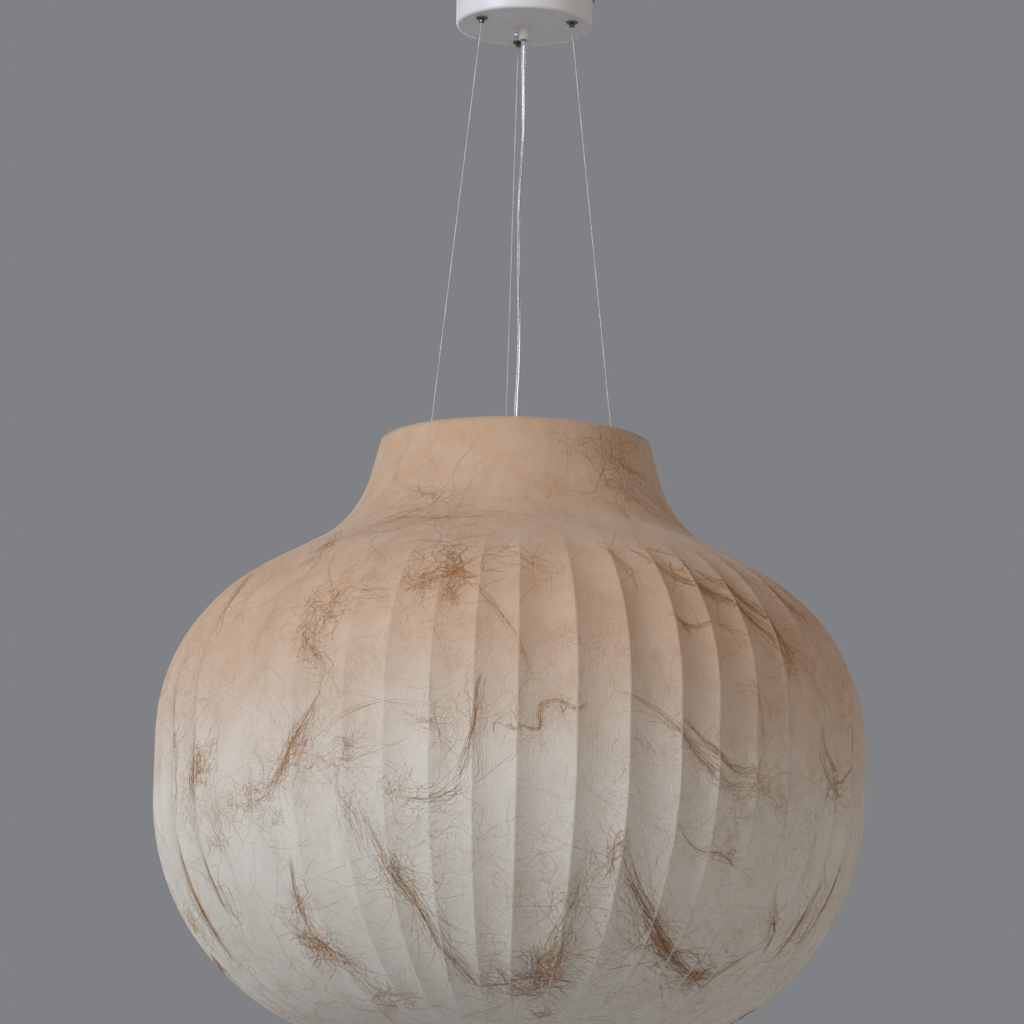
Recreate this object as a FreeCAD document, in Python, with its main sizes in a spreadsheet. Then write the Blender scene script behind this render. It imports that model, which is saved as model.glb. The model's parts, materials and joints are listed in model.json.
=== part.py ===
import FreeCAD, Part
import math
import os

import Sketcher

# Paper pendant lantern: a canopy on the ceiling, three thin steel wires and a clear flex,
# and a paper shade stretched over a cage of steel ribs, with a lampholder and bulb inside.
# Millimetres, +Z up. The origin is the middle of the ceiling face, and the lamp hangs below it.

Vector = FreeCAD.Vector
Rotation = FreeCAD.Rotation
Placement = FreeCAD.Placement
UP = Vector(0, 0, 1)

doc = FreeCAD.newDocument("paper_lantern")

# ---------------------------------------------------------------- driving sizes

SIZES = [
    # canopy and its ceiling bracket
    ("canopy_radius", 60.0, "outside of the pressed canopy"),
    ("canopy_depth", 38.0, "ceiling to the canopy's outer face"),
    ("canopy_wall", 1.2, "sheet thickness"),
    ("canopy_edge", 3.0, "outer radius of the lower edge"),
    ("strap_width", 20.0, "ceiling bracket"),
    ("strap_thick", 2.0, "ceiling bracket"),
    ("strap_gap", 0.4, "bracket ear to the canopy's inside"),
    ("ear_drop", 14.0, "ceiling to the ear's end"),
    ("slot_width", 5.0, "ceiling screw slot"),
    ("slot_length", 12.0, "ceiling screw slot, end to end"),
    ("slot_spacing", "=canopy_radius * 4 / 3", "between the slots' centres"),
    ("side_screw_down", 9.0, "ceiling to the side screws' axis"),
    ("machine_screw", 1.95, "radius of the four-millimetre screws"),
    ("screw_clearance", 0.05, "radial, screw in its tapped hole"),
    ("side_hole", 2.2, "radius of the canopy's side holes"),
    ("pan_radius", 3.8, "pan head"),
    ("pan_height", 2.4, "pan head"),
    ("side_screw_length", 9.0, "under the head"),
    ("screw_short", 0.2, "earth screw's end to the strap's top"),
    ("earth_screw_out", 18.0, "from the axis"),
    # terminal block
    ("block_start", 8.0, "from the axis to the near end"),
    ("block_length", 24.0, "terminal block"),
    ("block_width", 16.0, "terminal block"),
    ("block_height", 14.0, "terminal block"),
    ("pole_inset", 6.0, "block end to each pole"),
    ("pole_down", 9.0, "strap to the poles' axis"),
    ("sleeve_radius", 2.4, "brass terminal sleeve"),
    ("sleeve_bore", 1.5, "brass terminal sleeve"),
    ("sleeve_length", 12.0, "brass terminal sleeve"),
    ("clamp_screw", 1.2, "radius of the terminal screws"),
    ("clamp_screw_shown", 1.6, "terminal screw's head to the sleeve"),
    ("clamp_screw_bite", 1.4, "terminal screw in the sleeve"),
    ("driver_gap", 0.6, "round the terminal screw's driver way"),
    ("fixing_screw", 1.5, "radius of the block's fixing screw"),
    ("fixing_head", 1.2, "fixing screw's head above its cone"),
    ("fixing_cone", 0.6, "fixing screw's cone"),
    ("fixing_short", 0.22, "fixing screw's end to the strap's top"),
    # cord grip
    ("grip_play", 0.9, "flex to the grip's bore, so that a flat flex passes"),
    ("grip_wall", 0.9, "bore to the threaded shank's outside"),
    ("grip_shoulder", 1.0, "shank to the grip's outside"),
    ("grip_bore", "=flex_radius + grip_play", "way through for the flex"),
    ("grip_thread", "=grip_bore + grip_wall", "radius of its threaded shank"),
    ("grip_radius", "=grip_thread + grip_shoulder", "nylon cord grip"),
    ("grip_chamfer", 0.6, "lower edge of the grip"),
    ("grip_length", 12.0, "below the canopy"),
    ("grip_rise", 8.0, "shank above the canopy's outer face"),
    ("grip_screw", 1.9, "radius of the clear locking screw"),
    ("grip_screw_down", 8.0, "canopy to the locking screw's axis"),
    ("thumb_radius", 3.3, "locking screw's head"),
    ("thumb_length", 4.2, "locking screw's head"),
    ("nut_radius", "=max(grip_thread; barrel_radius) + 3", "corner radius of all four nuts"),
    ("nut_height", 4.0, "grip and gripper nuts"),
    ("thread_clearance", 0.05, "radial, nut on its thread"),
    ("hole_clearance", 0.1, "radial, shank in its hole in the canopy"),
    # wire grippers
    ("gripper_inset", 14.0, "canopy's outside to the circle of wire grippers"),
    ("gripper_circle", "=canopy_radius - gripper_inset", "radius of that circle"),
    ("tip_play", 0.1, "radial, release tip in its bore"),
    ("tip_wall", 0.8, "release tip"),
    ("tip_hole", "=wire_radius + 0.5", "wire hole in the release tip"),
    ("tip_bore", "=tip_hole + tip_wall + tip_play", "gripper bore for the release tip"),
    ("tip_collar", "=tip_bore + 0.6", "radius of the release tip's collar"),
    ("tip_shown", 3.0, "release tip below the flange"),
    ("tip_travel", 2.0, "how far the release tip pushes up"),
    ("tip_stop_gap", 0.1, "collar to flange at full travel"),
    ("barrel_step", 1.0, "bore to chamber, chamber to thread and thread to flange"),
    ("chamber_radius", "=tip_bore + barrel_step", "spring chamber"),
    ("barrel_radius", "=chamber_radius + barrel_step", "gripper thread"),
    ("flange_radius", "=barrel_radius + barrel_step", "gripper flange under the canopy"),
    ("flange_thick", 1.6, "gripper flange"),
    ("barrel_rise", 18.0, "gripper above the canopy's outer face"),
    ("cone_low", 1.5, "start of the cone above the outer face"),
    ("cone_high", 9.0, "end of the cone"),
    ("ball_radius", 0.8, "gripper ball"),
    ("ball_gap", 0.05, "ball to wire and to tip"),
    ("cone_gap", 0.07, "ball to cone, level"),
    ("ball_reach", "=wire_radius + 2 * ball_radius + ball_gap + cone_gap",
     "wire's middle to the cone at the balls"),
    ("ball_height",
     "=cone_low + (ball_reach - tip_bore) * (cone_high - cone_low) / barrel_step",
     "balls' centres above the outer face"),
    ("plug_depth", 1.5, "cap's plug in the chamber"),
    ("plug_bore", "=wire_radius + 0.3", "wire hole in the cap"),
    ("cap_rise", 1.5, "cap above the barrel"),
    ("spring_radius", "=chamber_radius - 1.1", "gripper spring, mean"),
    ("spring_wire", 0.25, "gripper spring, wire radius"),
    ("spring_pitch", 1.9, "gripper spring"),
    # suspension wires
    ("wire_radius", 0.6, "steel suspension wire"),
    ("wire_inset", 21.3, "rim's radius to the circle where the wires meet the spider"),
    ("wire_spread", "=rim_radius - wire_inset", "radius of that circle"),
    ("pivot_inset", 1.0, "bending point above the tip's lower end"),
    ("tail_gap", 0.3, "wire tail to the free wire"),
    ("stop_bore", "=wire_radius + 0.8", "wire stop, with room for the wire to lean"),
    ("stop_shank", "=stop_bore + 0.8", "wire stop"),
    ("stop_rise", 3.0, "wire stop above the arm"),
    ("stop_head", "=stop_shank + 1.6", "wire stop"),
    ("stop_head_height", 2.5, "wire stop"),
    ("stop_floor", 1.5, "bottom of the bore below the arm's top"),
    # shade outline, outer face of the paper
    ("hang", 378.0, "canopy's outer face to the rim"),
    ("rim_radius", 117.3, "rim"),
    ("neck_angle", 14.5, "neck from the vertical, degrees"),
    ("neck_length", 31.6, "straight part of the neck"),
    ("flare_radius", 105.0, "hollow curve of the flare"),
    ("flare_angle", 61.0, "steepest slope from the vertical, degrees"),
    ("slope_length", 51.2, "straight part below the flare"),
    ("shoulder_radius", 163.0, "round of the shoulder"),
    ("band_height", 48.8, "upright band at the widest place"),
    ("belly_radius", 212.0, "round of the belly"),
    ("belly_angle", 80.0, "where the belly ends at the lower mouth, degrees"),
    ("paper", 0.6, "paper and glue"),
    # cage
    ("glue_gap", 0.05, "paper to rib"),
    ("rib_radius", 1.0, "steel rib wire"),
    ("rib_count", 47, "ribs"),
    ("rib_start", -154.8, "direction of the first rib, degrees"),
    ("ring_radius", 2.0, "steel ring wire"),
    ("weld_bite", 0.2, "how far a weld sinks in"),
    ("rim_ring_down", 4.0, "rim ring along the neck"),
    ("spider_angle", 24.0, "slope of the flare at the spider ring, degrees"),
    ("shoulder_ring_down", 15.0, "shoulder ring along the straight slope"),
    ("mouth_ring_angle", 78.5, "slope of the belly at the mouth ring, degrees"),
    ("hub_radius", "=shade_ring_radius + 3", "spider hub"),
    ("hub_hole", "=skirt_radius + 0.5", "spider hub's hole"),
    ("arm_width", 12.0, "spider arms"),
    ("arm_thick", 2.0, "spider"),
    ("arm_overlap", 0.2, "arm end past the ring wire's middle"),
    # lampholder
    ("socket_radius", 14.0, "inside of the brass screw shell"),
    ("socket_wall", 0.6, "brass screw shell"),
    ("socket_length", 24.0, "brass screw shell"),
    ("socket_play", 1.4, "brass screw shell to the ledge"),
    ("ledge_radius", "=socket_radius + socket_wall + socket_play", "inside of the ledge"),
    ("ledge_width", 1.8, "ledge under the insulator"),
    ("skirt_inner", "=ledge_radius + ledge_width", "threaded skirt"),
    ("skirt_wall", 2.0, "threaded skirt"),
    ("skirt_radius", "=skirt_inner + skirt_wall", "threaded skirt"),
    ("skirt_length", 28.0, "skirt below the hub's top"),
    ("collar_radius", "=skirt_radius + 3.2", "shoulder that sits on the hub"),
    ("collar_height", 3.0, "shoulder"),
    ("spigot_step", 0.8, "skirt's outside to the spigot's"),
    ("spigot_height", 6.0, "spigot above the shoulder"),
    ("insulator_seat", 2.0, "hub's top to the insulator"),
    ("insulator_top", 10.0, "hub's top to the insulator's top"),
    ("insulator_boss", 4.0, "ledge to the insulator's boss, round"),
    ("insulator_play", 0.2, "insulator to the shell"),
    ("contact_low", 1.5, "hub's top to the centre contact's underside"),
    ("contact_thick", 0.7, "centre contact"),
    ("contact_stem", 1.2, "centre contact's stem, radius"),
    ("contact_disc", 3.5, "centre contact, radius"),
    ("pole_out", 10.0, "axis to the holder's terminals"),
    ("pole_long", 8.0, "holder terminal"),
    ("pole_thick", 6.0, "holder terminal, width and height"),
    ("pole_screw", 1.4, "holder terminal screw, radius"),
    ("pole_screw_height", 2.2, "holder terminal screw"),
    ("shade_ring_radius", "=skirt_radius + 7.2", "clamping ring"),
    ("shade_ring_height", 6.0, "clamping ring"),
    ("shade_ring_taper", 3.0, "clamping ring"),
    ("cap_wall", 1.8, "lampholder cap"),
    ("cap_play", 0.7, "cap's inside to the spigot"),
    ("cap_radius", "=skirt_radius - spigot_step + cap_play + cap_wall", "lampholder cap"),
    ("cap_side", 14.0, "height of the cap's straight side"),
    ("cap_round", 17.0, "round of the cap's shoulder"),
    ("cap_neck", 8.0, "cap's neck"),
    ("cap_shoulder", 29.0, "height of the cap's shoulder"),
    ("cap_height", 36.0, "top of the cap above the hub"),
    ("grommet_play", 0.9, "flex to the cap's hole"),
    ("grommet_lip", 1.8, "grommet over the cap, round"),
    ("grommet_depth", 6.0, "grommet below the cap's top"),
    ("grommet_rise", 2.0, "grommet above the cap's top"),
    # bulb
    ("bulb_drop", 92.0, "hub to the globe's centre"),
    ("globe_radius", 47.5, "bulb globe"),
    ("glass_wall", 1.0, "bulb glass"),
    ("bulb_cap", "=socket_radius - 0.8", "screw cap"),
    ("bulb_neck", "=bulb_cap - 0.6", "bulb neck"),
    ("neck_cone", 35.0, "where the neck meets the globe, degrees from its top"),
    ("contact_gap", 0.3, "bulb contact to centre contact"),
    ("button_radius", 4.6, "bulb contact"),
    ("button_height", 1.4, "bulb contact"),
    ("vitrite_inset", 1.4, "screw cap's outside to the glass insulator"),
    ("vitrite_drop", 4.2, "bulb contact to the glass insulator's rim"),
    ("vitrite_edge", 1.4, "glass insulator's rim"),
    ("cap_skin", 0.4, "screw cap's sheet"),
    ("neck_in_cap", 16.0, "bulb contact to the glass neck's end"),
    # flex
    ("flex_radius", 2.2, "clear twin flex, as a round tube"),
    ("core_radius", 0.9, "insulated core"),
    ("flex_lead", 28.0, "straight flex below the cord grip"),
    ("flex_tail", 32.0, "straight flex above the lampholder"),
    ("flex_bend", 12.0, "canopy plate to the bend in the flex above it"),
    ("flex_split", 19.0, "canopy plate to where its cores part"),
    ("flex_in_cap", 21.5, "hub's top to the flex's end in the cap"),
    ("fit_gap", 0.02, "pieces that rest on each other"),
]

# Spacing of neighbouring ribs, in degrees before they are shared out over the full turn:
# the cage is bent and welded by hand, so the steps are uneven, and the same run repeats.
RIB_STEPS = (7.2, 8.1, 8.0, 9.3, 6.9, 7.2, 6.8, 6.8, 9.2, 8.4, 8.7, 6.9, 7.6, 7.1, 8.6, 6.2)

# Directions of the three wires, in degrees from +X.
WIRES = {"left": 210.0, "right": 330.0, "back": 90.0}
RIB_SIDES = ("front_left", "front_right", "back_right", "back_left")
GRIP_SCREW_TURN = 173.0

# A size that starts with = follows other sizes.
sheet = doc.addObject("Spreadsheet::Sheet", "Sizes")
for row, (alias, value, note) in enumerate(SIZES, start=1):
    sheet.set(f"A{row}", alias)
    sheet.set(f"B{row}", str(value))
    sheet.set(f"C{row}", note)
    sheet.setAlias(f"B{row}", alias)
doc.recompute()


class Size:
    """A number together with the expression that the document keeps for it."""

    def __init__(self, value, text):
        self.value = value
        self.text = text

    def __add__(self, other):
        other = as_size(other)
        return Size(self.value + other.value, f"({self.text} + {other.text})")

    def __sub__(self, other):
        other = as_size(other)
        return Size(self.value - other.value, f"({self.text} - {other.text})")

    def __mul__(self, other):
        other = as_size(other)
        return Size(self.value * other.value, f"({self.text} * {other.text})")

    def __truediv__(self, other):
        other = as_size(other)
        return Size(self.value / other.value, f"({self.text} / {other.text})")

    def __radd__(self, other):
        return as_size(other) + self

    def __rsub__(self, other):
        return as_size(other) - self

    def __rmul__(self, other):
        return as_size(other) * self

    def __neg__(self):
        return Size(-self.value, f"(0 - {self.text})")


def as_size(number):
    if isinstance(number, Size):
        return number
    text = str(number) if number >= 0 else f"(0 - {-number})"
    return Size(float(number), text)


def size(alias):
    """A driving size, read from the sheet."""
    return Size(float(sheet.get(alias)), f"Sizes.{alias}")


def sine(angle):
    angle = as_size(angle)
    return Size(math.sin(math.radians(angle.value)), f"sin({angle.text})")


def cosine(angle):
    angle = as_size(angle)
    return Size(math.cos(math.radians(angle.value)), f"cos({angle.text})")


def root(number):
    return Size(math.sqrt(number.value), f"sqrt({number.text})")


# ---------------------------------------------------------------- drawing helpers

class Arc:
    """The edge after a corner is an arc: its radius, and 1 for a left turn or -1 for a right."""

    def __init__(self, radius, side):
        self.radius = as_size(radius)
        self.side = side


LEFT, RIGHT = 1, -1


def arc_through(start, end, radius, side):
    chord = end - start
    middle = (start + end) * 0.5
    across = Vector(-chord.y, chord.x, 0).normalize() * side
    centre = middle + across * math.sqrt(radius ** 2 - (chord.Length / 2) ** 2)
    crown = centre + (middle - centre).normalize() * radius
    return Part.Arc(start, crown, end)


def pin_point(sketch, edge, end, corner):
    """Hold one end of an edge at a corner's two sizes."""
    for kind, place, axis in (("DistanceX", corner[0], -2), ("DistanceY", corner[1], -1)):
        if abs(place.value) < 1e-9:
            sketch.addConstraint(Sketcher.Constraint("PointOnObject", edge, end, axis))
        else:
            rule = Sketcher.Constraint(kind, -1, 1, edge, end, place.value)
            number = sketch.addConstraint(rule)
            sketch.setExpression(f"Constraints[{number}]", place.text)


def draw_outline(sketch, outline, closed=True):
    """Draw corners (x, y) or (x, y, Arc) in order, each held by its own sizes."""
    corners = [(as_size(corner[0]), as_size(corner[1])) for corner in outline]
    bends = [corner[2] if len(corner) > 2 else None for corner in outline]
    edge_count = len(corners) if closed else len(corners) - 1
    edges = []
    for i in range(edge_count):
        following = corners[(i + 1) % len(corners)]
        start = Vector(corners[i][0].value, corners[i][1].value, 0)
        end = Vector(following[0].value, following[1].value, 0)
        if bends[i]:
            shape = arc_through(start, end, bends[i].radius.value, bends[i].side)
        else:
            shape = Part.LineSegment(start, end)
        edge = sketch.addGeometry(shape, False)
        drawn_start = sketch.getPoint(edge, 1)
        forward = (drawn_start - start).Length < (drawn_start - end).Length
        edges.append((edge, 1, 2) if forward else (edge, 2, 1))
        if bends[i]:
            number = sketch.addConstraint(
                Sketcher.Constraint("Radius", edge, bends[i].radius.value))
            sketch.setExpression(f"Constraints[{number}]", bends[i].radius.text)
    joints = zip(edges, edges[1:] + edges[:1]) if closed else zip(edges, edges[1:])
    for (edge, _, end), (next_edge, start, _) in joints:
        sketch.addConstraint(Sketcher.Constraint("Coincident", edge, end, next_edge, start))
    for (edge, start, end), corner in zip(edges, corners):
        pin_point(sketch, edge, start, corner)
    if not closed:
        edge, start, end = edges[-1]
        pin_point(sketch, edge, end, corners[-1])


def draw_circle(sketch, x, y, radius):
    x, y, radius = as_size(x), as_size(y), as_size(radius)
    edge = sketch.addGeometry(
        Part.Circle(Vector(x.value, y.value, 0), Vector(0, 0, 1), radius.value), False)
    number = sketch.addConstraint(Sketcher.Constraint("Radius", edge, radius.value))
    sketch.setExpression(f"Constraints[{number}]", radius.text)
    pin_point(sketch, edge, 3, (x, y))


def new_sketch(body, plane, name):
    sketch = body.newObject("Sketcher::SketchObject", name)
    support = [f for f in body.Origin.OriginFeatures if f.Role == plane][0]
    sketch.AttachmentSupport = (support, "")
    sketch.MapMode = "FlatFace"
    return sketch


def place(piece, at=(0, 0, 0), rotation=Rotation()):
    """Set a piece's place, bound to the sizes that it comes from."""
    at = [as_size(value) for value in at]
    piece.Placement = Placement(Vector(*[value.value for value in at]), rotation)
    for axis, value in zip("xyz", at):
        if "Sizes" in value.text:
            piece.setExpression(f"Placement.Base.{axis}", value.text)
    return piece


def about_z(turn):
    return Rotation(UP, turn)


def on_circle(radius, turn, z):
    """A place on a circle about the lamp's axis."""
    return (radius * math.cos(math.radians(turn)), radius * math.sin(math.radians(turn)), z)


nodes = []


def node(piece, label):
    """Name a sub-part: the label is its file's name."""
    piece.Label = label
    nodes.append(piece)
    return piece


def turned(name, outline, at=(0, 0, 0), rotation=Rotation()):
    """A turned, pressed or moulded round piece: one outline spun about Z."""
    body = doc.addObject("PartDesign::Body", name)
    sketch = new_sketch(body, "XZ_Plane", name + "_outline")
    draw_outline(sketch, outline)
    spin = body.newObject("PartDesign::Revolution", name + "_turning")
    spin.Profile = sketch
    spin.ReferenceAxis = (sketch, ["V_Axis"])
    spin.Angle = 360
    return place(body, at, rotation)


def bored(body, name, plane, x, y, radius, reverse=False, both_ways=False):
    """Cut a round hole through a body, square to one of its planes."""
    sketch = new_sketch(body, plane, name + "_sketch")
    draw_circle(sketch, x, y, radius)
    doc.recompute()
    before = body.Shape.Volume
    hole = body.newObject("PartDesign::Pocket", name)
    hole.Profile = sketch
    hole.Type = "ThroughAll"
    hole.Reversed = reverse
    if both_ways:
        hole.SideType = "Symmetric"
    doc.recompute()
    assert hole.Shape.Volume < before - 0.1, f"{name} cuts nothing"
    return hole


def patterned(body, name, feature, count):
    """Repeat a feature evenly about the body's Z axis."""
    pattern = body.newObject("PartDesign::PolarPattern", name)
    pattern.Originals = [feature]
    pattern.Axis = ([f for f in body.Origin.OriginFeatures if f.Role == "Z_Axis"][0], [""])
    pattern.Angle = 360
    pattern.Occurrences = count
    body.Tip = pattern
    doc.recompute()
    return pattern


def box(name, length, width, height, at, rotation=Rotation()):
    piece = doc.addObject("Part::Box", name)
    for side, value in (("Length", length), ("Width", width), ("Height", height)):
        value = as_size(value)
        setattr(piece, side, value.value)
        piece.setExpression(side, value.text)
    return place(piece, at, rotation)


def cylinder(name, radius, height, at, rotation=Rotation()):
    piece = doc.addObject("Part::Cylinder", name)
    for side, value in (("Radius", radius), ("Height", height)):
        value = as_size(value)
        setattr(piece, side, value.value)
        piece.setExpression(side, value.text)
    return place(piece, at, rotation)


def fused(name, pieces):
    piece = doc.addObject("Part::MultiFuse", name)
    piece.Shapes = pieces
    return piece


def cut(name, base, tool):
    piece = doc.addObject("Part::Cut", name)
    piece.Base = base
    piece.Tool = tool
    return piece


def grouped(name, pieces):
    """Identical fasteners and the like, as one node of separate solids."""
    piece = doc.addObject("Part::Compound", name)
    piece.Links = pieces
    return piece


ALONG_X = Rotation(Vector(0, 1, 0), 90)
ALONG_MINUS_Y = Rotation(Vector(1, 0, 0), 90)


def tube(name, points, radius):
    """A bent wire or flex: straight runs joined by the largest arcs that the runs allow."""
    points = [Vector(*[as_size(value).value for value in point]) for point in points]
    share = 0.45
    edges = []
    here = points[0]
    radii = []
    for before, corner, after in zip(points, points[1:], points[2:]):
        into = (corner - before).normalize()
        out = (after - corner).normalize()
        half_turn = into.getAngle(out) / 2
        reach = share * min((corner - before).Length, (after - corner).Length)
        radii.append(reach / math.tan(half_turn))
        start, end = corner - into * reach, corner + out * reach
        bisector = (out - into).normalize()
        crown = corner + bisector * radii[-1] * (1 / math.cos(half_turn) - 1)
        edges.append(Part.LineSegment(here, start).toShape())
        edges.append(Part.Arc(start, crown, end).toShape())
        here = end
    edges.append(Part.LineSegment(here, points[-1]).toShape())
    path = Part.Wire(edges)
    first = (points[1] - points[0]).normalize()
    ring = Part.Wire([Part.makeCircle(radius.value, points[0], first)])
    piece = doc.addObject("Part::Feature", name)
    piece.Shape = path.makePipeShell([ring], True, False)
    expected = math.pi * radius.value ** 2 * path.Length
    assert abs(piece.Shape.Volume / expected - 1) < 0.01, f"{name} has the wrong volume"
    if radii:
        print(name, "length", round(path.Length, 1), "bend radii", [round(r) for r in radii])
    return piece


# ---------------------------------------------------------------- levels and shared places

canopy_face = -size("canopy_depth")
plate_top = canopy_face + size("canopy_wall")
tip_end = canopy_face - size("flange_thick") - size("tip_shown")
wire_pivot = tip_end + size("pivot_inset")
rim_level = canopy_face - size("hang")


def shade_line(depth):
    """The shade's side from rim to lower mouth, at a depth under the paper's outer face."""
    neck, flare, mouth = size("neck_angle"), size("flare_angle"), size("belly_angle")
    flare_arc = size("flare_radius") + depth
    shoulder_arc = size("shoulder_radius") - depth
    belly_arc = size("belly_radius") - depth
    rim = (size("rim_radius") - depth * cosine(neck), rim_level - depth * sine(neck))
    neck_end = (rim[0] + size("neck_length") * sine(neck),
                rim[1] - size("neck_length") * cosine(neck))
    flare_end = (neck_end[0] + flare_arc * (cosine(neck) - cosine(flare)),
                 neck_end[1] - flare_arc * (sine(flare) - sine(neck)))
    slope_end = (flare_end[0] + size("slope_length") * sine(flare),
                 flare_end[1] - size("slope_length") * cosine(flare))
    shoulder_end = (slope_end[0] + shoulder_arc * (1 - cosine(flare)),
                    slope_end[1] - shoulder_arc * sine(flare))
    band_end = (shoulder_end[0], shoulder_end[1] - size("band_height"))
    belly_end = (band_end[0] - belly_arc * (1 - cosine(mouth)),
                 band_end[1] - belly_arc * sine(mouth))
    return [rim, neck_end + (Arc(flare_arc, LEFT),), flare_end,
            slope_end + (Arc(shoulder_arc, RIGHT),), shoulder_end,
            band_end + (Arc(belly_arc, RIGHT),), belly_end]


def turned_back(line):
    """The same line drawn the other way."""
    arcs = [corner[2] if len(corner) > 2 else None for corner in line]
    backwards = []
    for i in range(len(line) - 1, -1, -1):
        corner = line[i][:2]
        arc = arcs[i - 1] if i > 0 else None
        if arc:
            corner = corner + (Arc(arc.radius, -arc.side),)
        backwards.append(corner)
    return backwards


rib_depth = size("paper") + size("glue_gap") + size("rib_radius")
ring_depth = rib_depth + size("rib_radius") + size("ring_radius") - size("weld_bite")


def ring_places():
    """Radius and level of the middle of each ring's wire."""
    line = shade_line(ring_depth)
    neck, flare = size("neck_angle"), size("flare_angle")
    rim, neck_end, flare_end, band_end = line[0], line[1], line[2], line[5]
    flare_arc = size("flare_radius") + ring_depth
    belly_arc = size("belly_radius") - ring_depth
    spider, mouth = size("spider_angle"), size("mouth_ring_angle")
    down, along = size("rim_ring_down"), size("shoulder_ring_down")
    return {
        "rim_ring": (rim[0] + down * sine(neck), rim[1] - down * cosine(neck)),
        "spider_ring": (neck_end[0] + flare_arc * (cosine(neck) - cosine(spider)),
                        neck_end[1] - flare_arc * (sine(spider) - sine(neck))),
        "shoulder_ring": (flare_end[0] + along * sine(flare),
                          flare_end[1] - along * cosine(flare)),
        "mouth_ring": (band_end[0] - belly_arc * (1 - cosine(mouth)),
                       band_end[1] - belly_arc * sine(mouth)),
    }


rings = ring_places()
arm_under = rings["spider_ring"][1] + size("ring_radius") - size("weld_bite")
hub_top = arm_under + size("arm_thick")


# ---------------------------------------------------------------- canopy

def make_ceiling_bracket():
    """Flat strap with two bent ears, two slots for ceiling screws and three tapped holes."""
    thick, width = size("strap_thick"), size("strap_width")
    half_width = width / 2
    corner = size("canopy_radius") - size("canopy_wall") - size("strap_gap")
    reach = root(corner * corner - half_width * half_width)
    strap = box("strap", reach * 2, width, thick, (-reach, -half_width, -thick))
    ears = [box("ear_left", thick, width, size("ear_drop") - thick,
                (-reach, -half_width, -size("ear_drop"))),
            box("ear_right", thick, width, size("ear_drop") - thick,
                (reach - thick, -half_width, -size("ear_drop")))]
    tools = []
    radius = size("slot_width") / 2
    straight = size("slot_length") - size("slot_width")
    deep = thick + 2
    for side, sign in (("left", -1), ("right", 1)):
        middle = size("slot_spacing") / 2 * sign
        tools.append(box(f"slot_{side}", straight, radius * 2, deep,
                         (middle - straight / 2, -radius, -thick - 1)))
        for end, way in (("inner", -sign), ("outer", sign)):
            tools.append(cylinder(f"slot_{side}_{end}", radius, deep,
                                  (middle + straight / 2 * way, 0, -thick - 1)))
    tapped = size("machine_screw") + size("screw_clearance")
    tools.append(cylinder("ear_holes", tapped, reach * 2 + 2,
                          (-reach - 1, 0, -size("side_screw_down")), ALONG_X))
    tools.append(cylinder("earth_hole", tapped, deep, (-size("earth_screw_out"), 0, -thick - 1)))
    tools.append(cylinder("block_hole", size("fixing_screw") + size("screw_clearance"), deep,
                          (size("block_start") + size("block_length") / 2, 0, -thick - 1)))
    node(cut("bracket", fused("strap_and_ears", [strap] + ears), fused("bracket_holes", tools)),
         "ceiling_bracket")


def make_canopy_cover():
    """Pressed cup, open at the ceiling, with holes for the grip, the grippers and the screws."""
    radius, depth = size("canopy_radius"), size("canopy_depth")
    wall, edge = size("canopy_wall"), size("canopy_edge")
    body = turned("canopy", [
        (radius, 0), (radius, edge - depth, Arc(edge, RIGHT)), (radius - edge, -depth),
        (0, -depth), (0, wall - depth), (radius - edge, wall - depth, Arc(edge - wall, LEFT)),
        (radius - wall, edge - depth), (radius - wall, 0)])
    gap = size("hole_clearance")
    bored(body, "grip_hole", "XY_Plane", 0, 0, size("grip_thread") + gap)
    first = bored(body, "gripper_hole", "XY_Plane", 0, size("gripper_circle"),
                  size("barrel_radius") + gap)
    patterned(body, "gripper_holes", first, len(WIRES))
    bored(body, "side_holes", "YZ_Plane", 0, -size("side_screw_down"), size("side_hole"),
          both_ways=True)
    node(body, "canopy_cover")


def pan_screw(name, shank, length, at, rotation):
    """Pan-head screw: the head's underside is at the origin and the shank runs along -Z."""
    head, height = size("pan_radius"), size("pan_height")
    return turned(name, [
        (0, -length), (shank, -length), (shank, 0), (head, 0), (head, height * 0.45),
        (head * 0.8, height * 0.88), (head * 0.4, height), (0, height)], at, rotation)


def make_canopy_screws():
    outside = size("canopy_radius") + size("fit_gap")
    level = -size("side_screw_down")
    length, shank = size("side_screw_length"), size("machine_screw")
    screws = [pan_screw("side_screw_right", shank, length, (outside, 0, level), ALONG_X),
              pan_screw("side_screw_left", shank, length, (-outside, 0, level),
                        Rotation(Vector(0, 1, 0), -90))]
    node(grouped("side_screws", screws), "canopy_side_screws")
    downwards = Rotation(Vector(1, 0, 0), 180)
    under = -size("strap_thick") - size("fit_gap")
    node(pan_screw("earth", shank, size("strap_thick") - size("screw_short"),
                   (-size("earth_screw_out"), 0, under), downwards), "earth_screw")


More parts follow.
